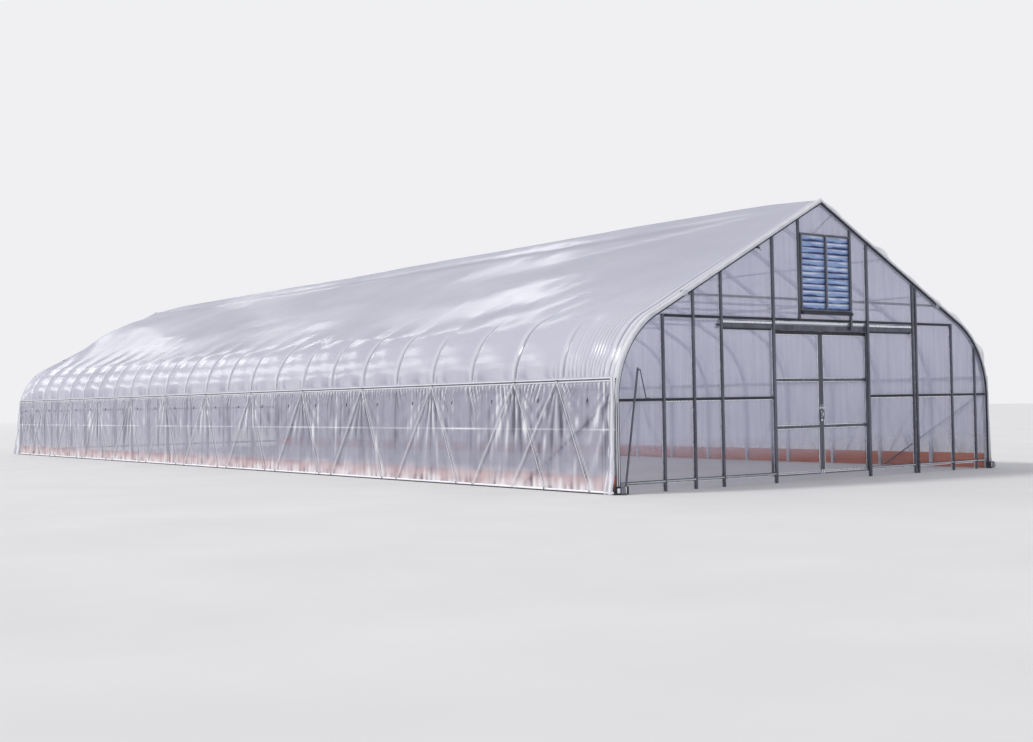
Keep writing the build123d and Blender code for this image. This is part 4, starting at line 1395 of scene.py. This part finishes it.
def makeTrackCovers():
    # half-round tube that covers the door track in front of the clear sheets, the bright strip
    # above it and the shadow under it
    sheet = frontY + gable["postHalf"]
    skin = sheet - clearance
    low, high = track["low"], track["high"]
    middle, radius = (low + high) / 2, (high - low) / 2
    spans = [
        (gable["posts"][1] + track["postGap"], gable["jambs"][0] - track["jambGap"]),
        (gable["jambs"][1] + track["jambGap"], gable["posts"][2] - track["postGap"]),
    ]
    form = bmesh.new()
    for start, end in spans:
        addRod(form, (start, sheet, middle), (end, sheet, middle), radius, 20)
    cutAway(form, (0, skin, 0), (0, 1, 0))
    about = Matrix.Translation((0, -sheet, 0))
    bmesh.ops.scale(form, vec=(1, track["flatness"], 1), space=about, verts=form.verts[:])
    finishPiece("track_tube", form, weatheredAndShadedSteel, "house")
    form = bmesh.new()
    for start, end in spans:
        addBlock(form, (start, sheet - 0.03, high - 0.012), (end, skin, high + 0.026), 0.004)
    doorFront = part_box("track_cover")[0].y
    left, right = gable["jambs"][0] + 0.026, gable["jambs"][1] - 0.026
    stripLow = (left, doorFront - 0.012, track["stripFoot"])
    addBlock(form, stripLow, (right, doorFront - clearance, track["stripTop"]), 0.004)
    finishPiece("track_edge_strips", form, brightAluminium, "house")
    form = bmesh.new()
    for start, end in spans:
        addBlock(form, (start, sheet - 0.012, low - 0.02), (end, skin, low + 0.01), 0.003)
    stub = gable["posts"][1] - track["stubAway"]
    stubLow = (stub - 0.035, sheet - 0.02, middle - 0.012)
    addBlock(form, stubLow, (stub + 0.028, skin, middle + 0.012), 0.003)
    finishPiece("track_shadow_strips", form, shadedSteel, "house")


# The leaves: foot and top of each pane, the beads round it, and the widths of the stiles
door = {
    "panes": [(0.14, 0.87), (0.91, 1.645), (1.685, 2.42)],
    "bead": 0.014,
    "outerStile": 0.04,
    "meetingStile": 0.054,
    "capBelow": 0.036,
    "capAbove": 0.019,
    "capDepth": 0.003,
    "stripDepth": 0.0026,
    "guideFoot": 0.105,
    "guideTop": 0.17,
    "sillFoot": 0.118,
    "sillTop": 0.136,
}
doors = ((-1, "left_door"), (1, "right_door"))


def makeDoorBeads():
    # glazing beads round each pane of the leaves
    width = door["bead"]
    for side, body in doors:
        frameLow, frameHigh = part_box(f"{body}_frame")
        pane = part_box(f"{body}_panes")[0].y
        front, back = pane - door["bead"], pane - 0.0003
        left = frameLow.x + (door["outerStile"] if side < 0 else door["meetingStile"])
        right = frameHigh.x - (door["meetingStile"] if side < 0 else door["outerStile"])
        form = bmesh.new()
        for low, high in door["panes"]:
            addBlock(form, (left, front, low), (left + width, back, high), 0.003)
            addBlock(form, (right - width, front, low), (right, back, high), 0.003)
            for foot in (low, high - width):
                addBlock(form, (left + width, front, foot), (right - width, back, foot + width), 0.003)
        finishPiece(f"{body}_beads", form, brightAluminium, body)


def makeDoorCaps():
    # the folded cap along each leaf's top, and the strip down its meeting stile
    for side, body in doors:
        low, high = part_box(f"{body}_frame")
        face = low.y - clearance
        form = bmesh.new()
        start = (low.x + clearance, low.y - door["capDepth"], high.z - door["capBelow"])
        addBlock(form, start, (high.x - clearance, face, high.z + door["capAbove"]), 0.001)
        finishPiece(f"{body}_top_cap", form, shadedSteel, body)
        form = bmesh.new()
        meeting = high.x if side < 0 else low.x
        near, far = sorted((meeting, meeting + side * door["meetingStile"]))
        start = (near, low.y - door["stripDepth"], low.z + 0.002)
        addBlock(form, start, (far, face, high.z - 0.038), 0.0008)
        finishPiece(f"{body}_meeting_strip", form, weatheredAndShadedSteel, body)


# The lock's blocks, as across from and to, foot and top, how far out back and face are, and bevel
doorLock = {
    "left_door": [
        (-0.055, -0.004, 1.18, 1.215, 0.0028, 0.008, 0.002),
        (-0.03, -0.012, 1.125, 1.151, 0.0028, 0.02, 0.002),
        (-0.036, -0.004, 0.975, 1.015, 0.012, 0.032, 0.004),
    ],
    "right_door": [
        (0.004, 0.06, 1.18, 1.215, 0.0028, 0.008, 0.002),
        (0.012, 0.03, 1.06, 1.12, 0.0028, 0.02, 0.002),
    ],
    "boltSpans": {"left_door": (-0.06, -0.008), "right_door": (0.008, 0.06)},
    "boltHeight": 1.198,
    "boltReach": 0.016,
    "boltRadius": 0.008,
    "links": 6,
    "linkPitch": 0.019,
    "chainPlace": -0.02,
    "chainReach": 0.022,
    "chainTop": 1.125,
}
link = {"radius": 0.0115, "wire": 0.0026, "ringSteps": 12, "wireSteps": 5}


def addLink(form, place, turn):
    # one chain link, a ring that stands upright and is turned about the upright
    flat = Vector((-math.sin(turn), math.cos(turn), 0.0))
    sections = []
    for i in range(link["ringSteps"]):
        around = math.tau * i / link["ringSteps"]
        level = math.sin(around)
        out = Vector((level * math.cos(turn), level * math.sin(turn), math.cos(around)))
        section = []
        for j in range(link["wireSteps"]):
            tip = math.tau * j / link["wireSteps"]
            spot = Vector(place) + out * (link["radius"] + link["wire"] * math.cos(tip))
            section.append(form.verts.new(spot + flat * (link["wire"] * math.sin(tip))))
        sections.append(section)
    for i in range(link["ringSteps"]):
        here, after = sections[i - 1], sections[i]
        for j in range(link["wireSteps"]):
            form.faces.new((here[j - 1], here[j], after[j], after[j - 1]))


def makeDoorLocks():
    # bolt and plates at each meeting stile, with a chain and a padlock on the left leaf
    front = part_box("left_door_frame")[0].y
    for side, body in doors:
        form = bmesh.new()
        for left, right, foot, top, back, face, bevel in doorLock[body]:
            addBlock(form, (left, front - face, foot), (right, front - back, top), bevel)
        start, end = (
            (x, front - doorLock["boltReach"], doorLock["boltHeight"])
            for x in doorLock["boltSpans"][body]
        )
        addRod(form, start, end, doorLock["boltRadius"], 10)
        for i in range(doorLock["links"] if side < 0 else 0):
            height = doorLock["chainTop"] - doorLock["linkPitch"] * i
            place = (doorLock["chainPlace"], front - doorLock["chainReach"], height)
            addLink(form, place, math.pi / 2 * (i % 2))
        bmesh.ops.recalc_face_normals(form, faces=form.faces[:])
        finishPiece(f"{body}_lock", form, brightAluminium, body)


def makeSillStrips():
    # a white guide under the meeting stiles, and a strip along each leaf's lowest rail
    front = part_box("left_door_frame")[0].y
    for side, body in doors:
        form = bmesh.new()
        near, far = sorted((side * 0.008, side * 0.04))
        start = (near, front - 0.012, door["guideFoot"])
        addBlock(form, start, (far, front - 0.0028, door["guideTop"]), 0.003)
        low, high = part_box(f"{body}_frame")
        start = (low.x + 0.045, front - 0.003, door["sillFoot"])
        addBlock(form, start, (high.x - 0.045, front - clearance, door["sillTop"]), 0.001)
        finishPiece(f"{body}_sill_strip", form, powderCoat, body)


makeGableBeads()
makeRailFaces()
makeGableScrews()
makeTrackCovers()
makeDoorBeads()
makeDoorCaps()
makeDoorLocks()
makeSillStrips()
print("gable strips made")


# Corner film: the tail of the roof film, brought down each corner to the ground

corner = {
    "width": 0.12,
    "top": 1.72,
    "foot": 0.004,
    "out": 0.018,
    "flare": 0.03,
    "backWidth": 0.27,
    "backFlare": 0.3,
    "backOut": 0.07,
    "columns": 12,
    "rows": 40,
}


def makeCornerFilm(name, side, end, away):
    def pointAt(row, column):
        down = row / corner["rows"]
        along = column / corner["columns"]
        height = corner["top"] * (1 - down) + corner["foot"] * down
        sway = cloud(down * 3, side, end)
        crinkle = cloud(down * 9.0, along * 2.0, side + end)
        wave = math.cos(math.tau * (along * 1.6 + 0.6 * sway + 0.35 * crinkle))
        x = curtainX(down) + corner["out"] + 0.007 * wave * smoothStep(0.02, 0.15, down)
        x += corner["flare"] * smoothStep(0.85, 1, down)
        spread = 1 + 0.5 * sway + 0.2 * crinkle + 0.4 * smoothStep(0.75, 1.0, down) * along
        # at the back the tail flares out loosely
        loose = (1 - along) ** 1.5 * down**1.2 if away > 0 else 0.0
        x += corner["backOut"] * loose
        y = end + away * (halfBow + 0.006 + corner["backFlare"] * loose)
        y -= away * corner["width"] * spread * along
        # painted shade in the hollows of the waves and crinkles, and whiter film with painted highlight on
        # the waves' ridges
        paintedShade = 0.6 * max(-wave, 0.0) + 0.3 * max(-crinkle, 0.0)
        return (side * x, y, height), (paintedShade, 0.7 * max(wave, 0.0))

    size = (corner["columns"], corner["rows"])
    piece = makeSheet(name, cornerFilm, "roof_film", ("paintedShade", "paleFoldAndHighlight"), *size, pointAt)


for cornerSide, sideName in ((-1, "left"), (1, "right")):
    makeCornerFilm(f"front_{sideName}_corner_film", cornerSide, frontY, -1)
    makeCornerFilm(f"back_{sideName}_corner_film", cornerSide, backY, 1)
print("corner film made")


# Floor and light

def makeStage():
    # Pale matt floor, faintly mottled, so that the house stands on something plain
    made, tree = newMaterial("paleFloor")
    colour = mixColours(tree, addNoise(tree, (1, 1, 1), 2.0, 6.0), "#D4D2CF", "#E2E1DE")
    inputs = {"Base Color": colour, "Roughness": 0.9}
    surface = addNode(tree, "ShaderNodeBsdfPrincipled", None, inputs).outputs[0]
    finishMaterial(made, tree, surface)
    form = bmesh.new()
    bmesh.ops.create_grid(form, x_segments=4, y_segments=4, size=160.0)
    bmesh.ops.translate(form, verts=form.verts[:], vec=(0, 0, -0.002))
    mesh = bpy.data.meshes.new("floor")
    form.to_mesh(mesh)
    form.free()
    mesh.materials.append(made)
    floor = bpy.data.objects.new("floor", mesh)
    bpy.context.scene.collection.objects.link(floor)


light = {
    "sky": "#E4E6EE",
    "skyStrength": 0.84,
    "seen": "#F0F0F3",
    "sunStrength": 1.6,
    "sunAngle": math.radians(12),
    "sunFrom": (-0.75, 0.35, 0.8),
    "boxes": [
        # azimuth from +Y, elevation, width and height, all in degrees, and brightness
        (8, 19, 9, 3, 2.6),
        (13, 25, 8, 2.5, 3.6),
        (22, 31, 12, 3.5, 3.0),
        (24, 15, 8, 2, 2.6),
        (-2, 22, 8, 3, 4.5),
        (-9, 28, 12, 4, 3.5),
        (-14, 18, 10, 5, 3.5),
        (-25, 23, 12, 7, 4.2),
        (-36, 16, 9, 7, 4.0),
        (-20, 11, 12, 4, 3.5),
    ],
    "boxDistance": 300.0,
}


def makeWorld():
    # the camera sees a paler sky than the one that lights the house
    world = bpy.data.worlds.new("studio")
    bpy.context.scene.world = world
    world.use_nodes = True
    tree = world.node_tree
    tree.nodes.clear()
    path = addNode(tree, "ShaderNodeLightPath")
    inputs = {"Color": linearColour(light["sky"]), "Strength": light["skyStrength"]}
    lit = addNode(tree, "ShaderNodeBackground", None, inputs).outputs[0]
    inputs = {"Color": linearColour(light["seen"])}
    seen = addNode(tree, "ShaderNodeBackground", None, inputs).outputs[0]
    rays = (path.outputs["Is Camera Ray"], path.outputs["Is Transmission Ray"])
    mixed = mixShaders(tree, addMath(tree, "MAXIMUM", *rays), lit, seen)
    addNode(tree, "ShaderNodeOutputWorld", None, {"Surface": mixed})


def addLamp(name, kind, direction):
    # a lamp that shines from direction towards the house
    data = bpy.data.lights.new(name, kind)
    lamp = bpy.data.objects.new(name, data)
    lamp.rotation_mode = "QUATERNION"
    lamp.rotation_quaternion = direction.to_track_quat("Z", "Y")
    bpy.context.scene.collection.objects.link(lamp)
    return lamp, data


def makeLight():
    # a soft sun, and softboxes that stand for the clouds that the roof mirrors
    lamp, data = addLamp("softSun", "SUN", Vector(light["sunFrom"]))
    data.energy = light["sunStrength"]
    data.angle = light["sunAngle"]
    distance = light["boxDistance"]
    for azimuth, elevation, wide, high, brightness in light["boxes"]:
        turn, rise = math.radians(azimuth), math.radians(elevation)
        away = Vector((math.sin(turn) * math.cos(rise), math.cos(turn) * math.cos(rise), math.sin(rise)))
        lamp, data = addLamp("softBox", "AREA", away)
        data.shape = "RECTANGLE"
        data.size = 2 * distance * math.tan(math.radians(wide / 2))
        data.size_y = 2 * distance * math.tan(math.radians(high / 2))
        data.energy = brightness * math.pi * data.size * data.size_y
        lamp.location = away * distance
        lamp.visible_camera = False


makeStage()
makeWorld()
makeLight()
bpy.context.scene.view_settings.view_transform = "Standard"
print("stage and light made")
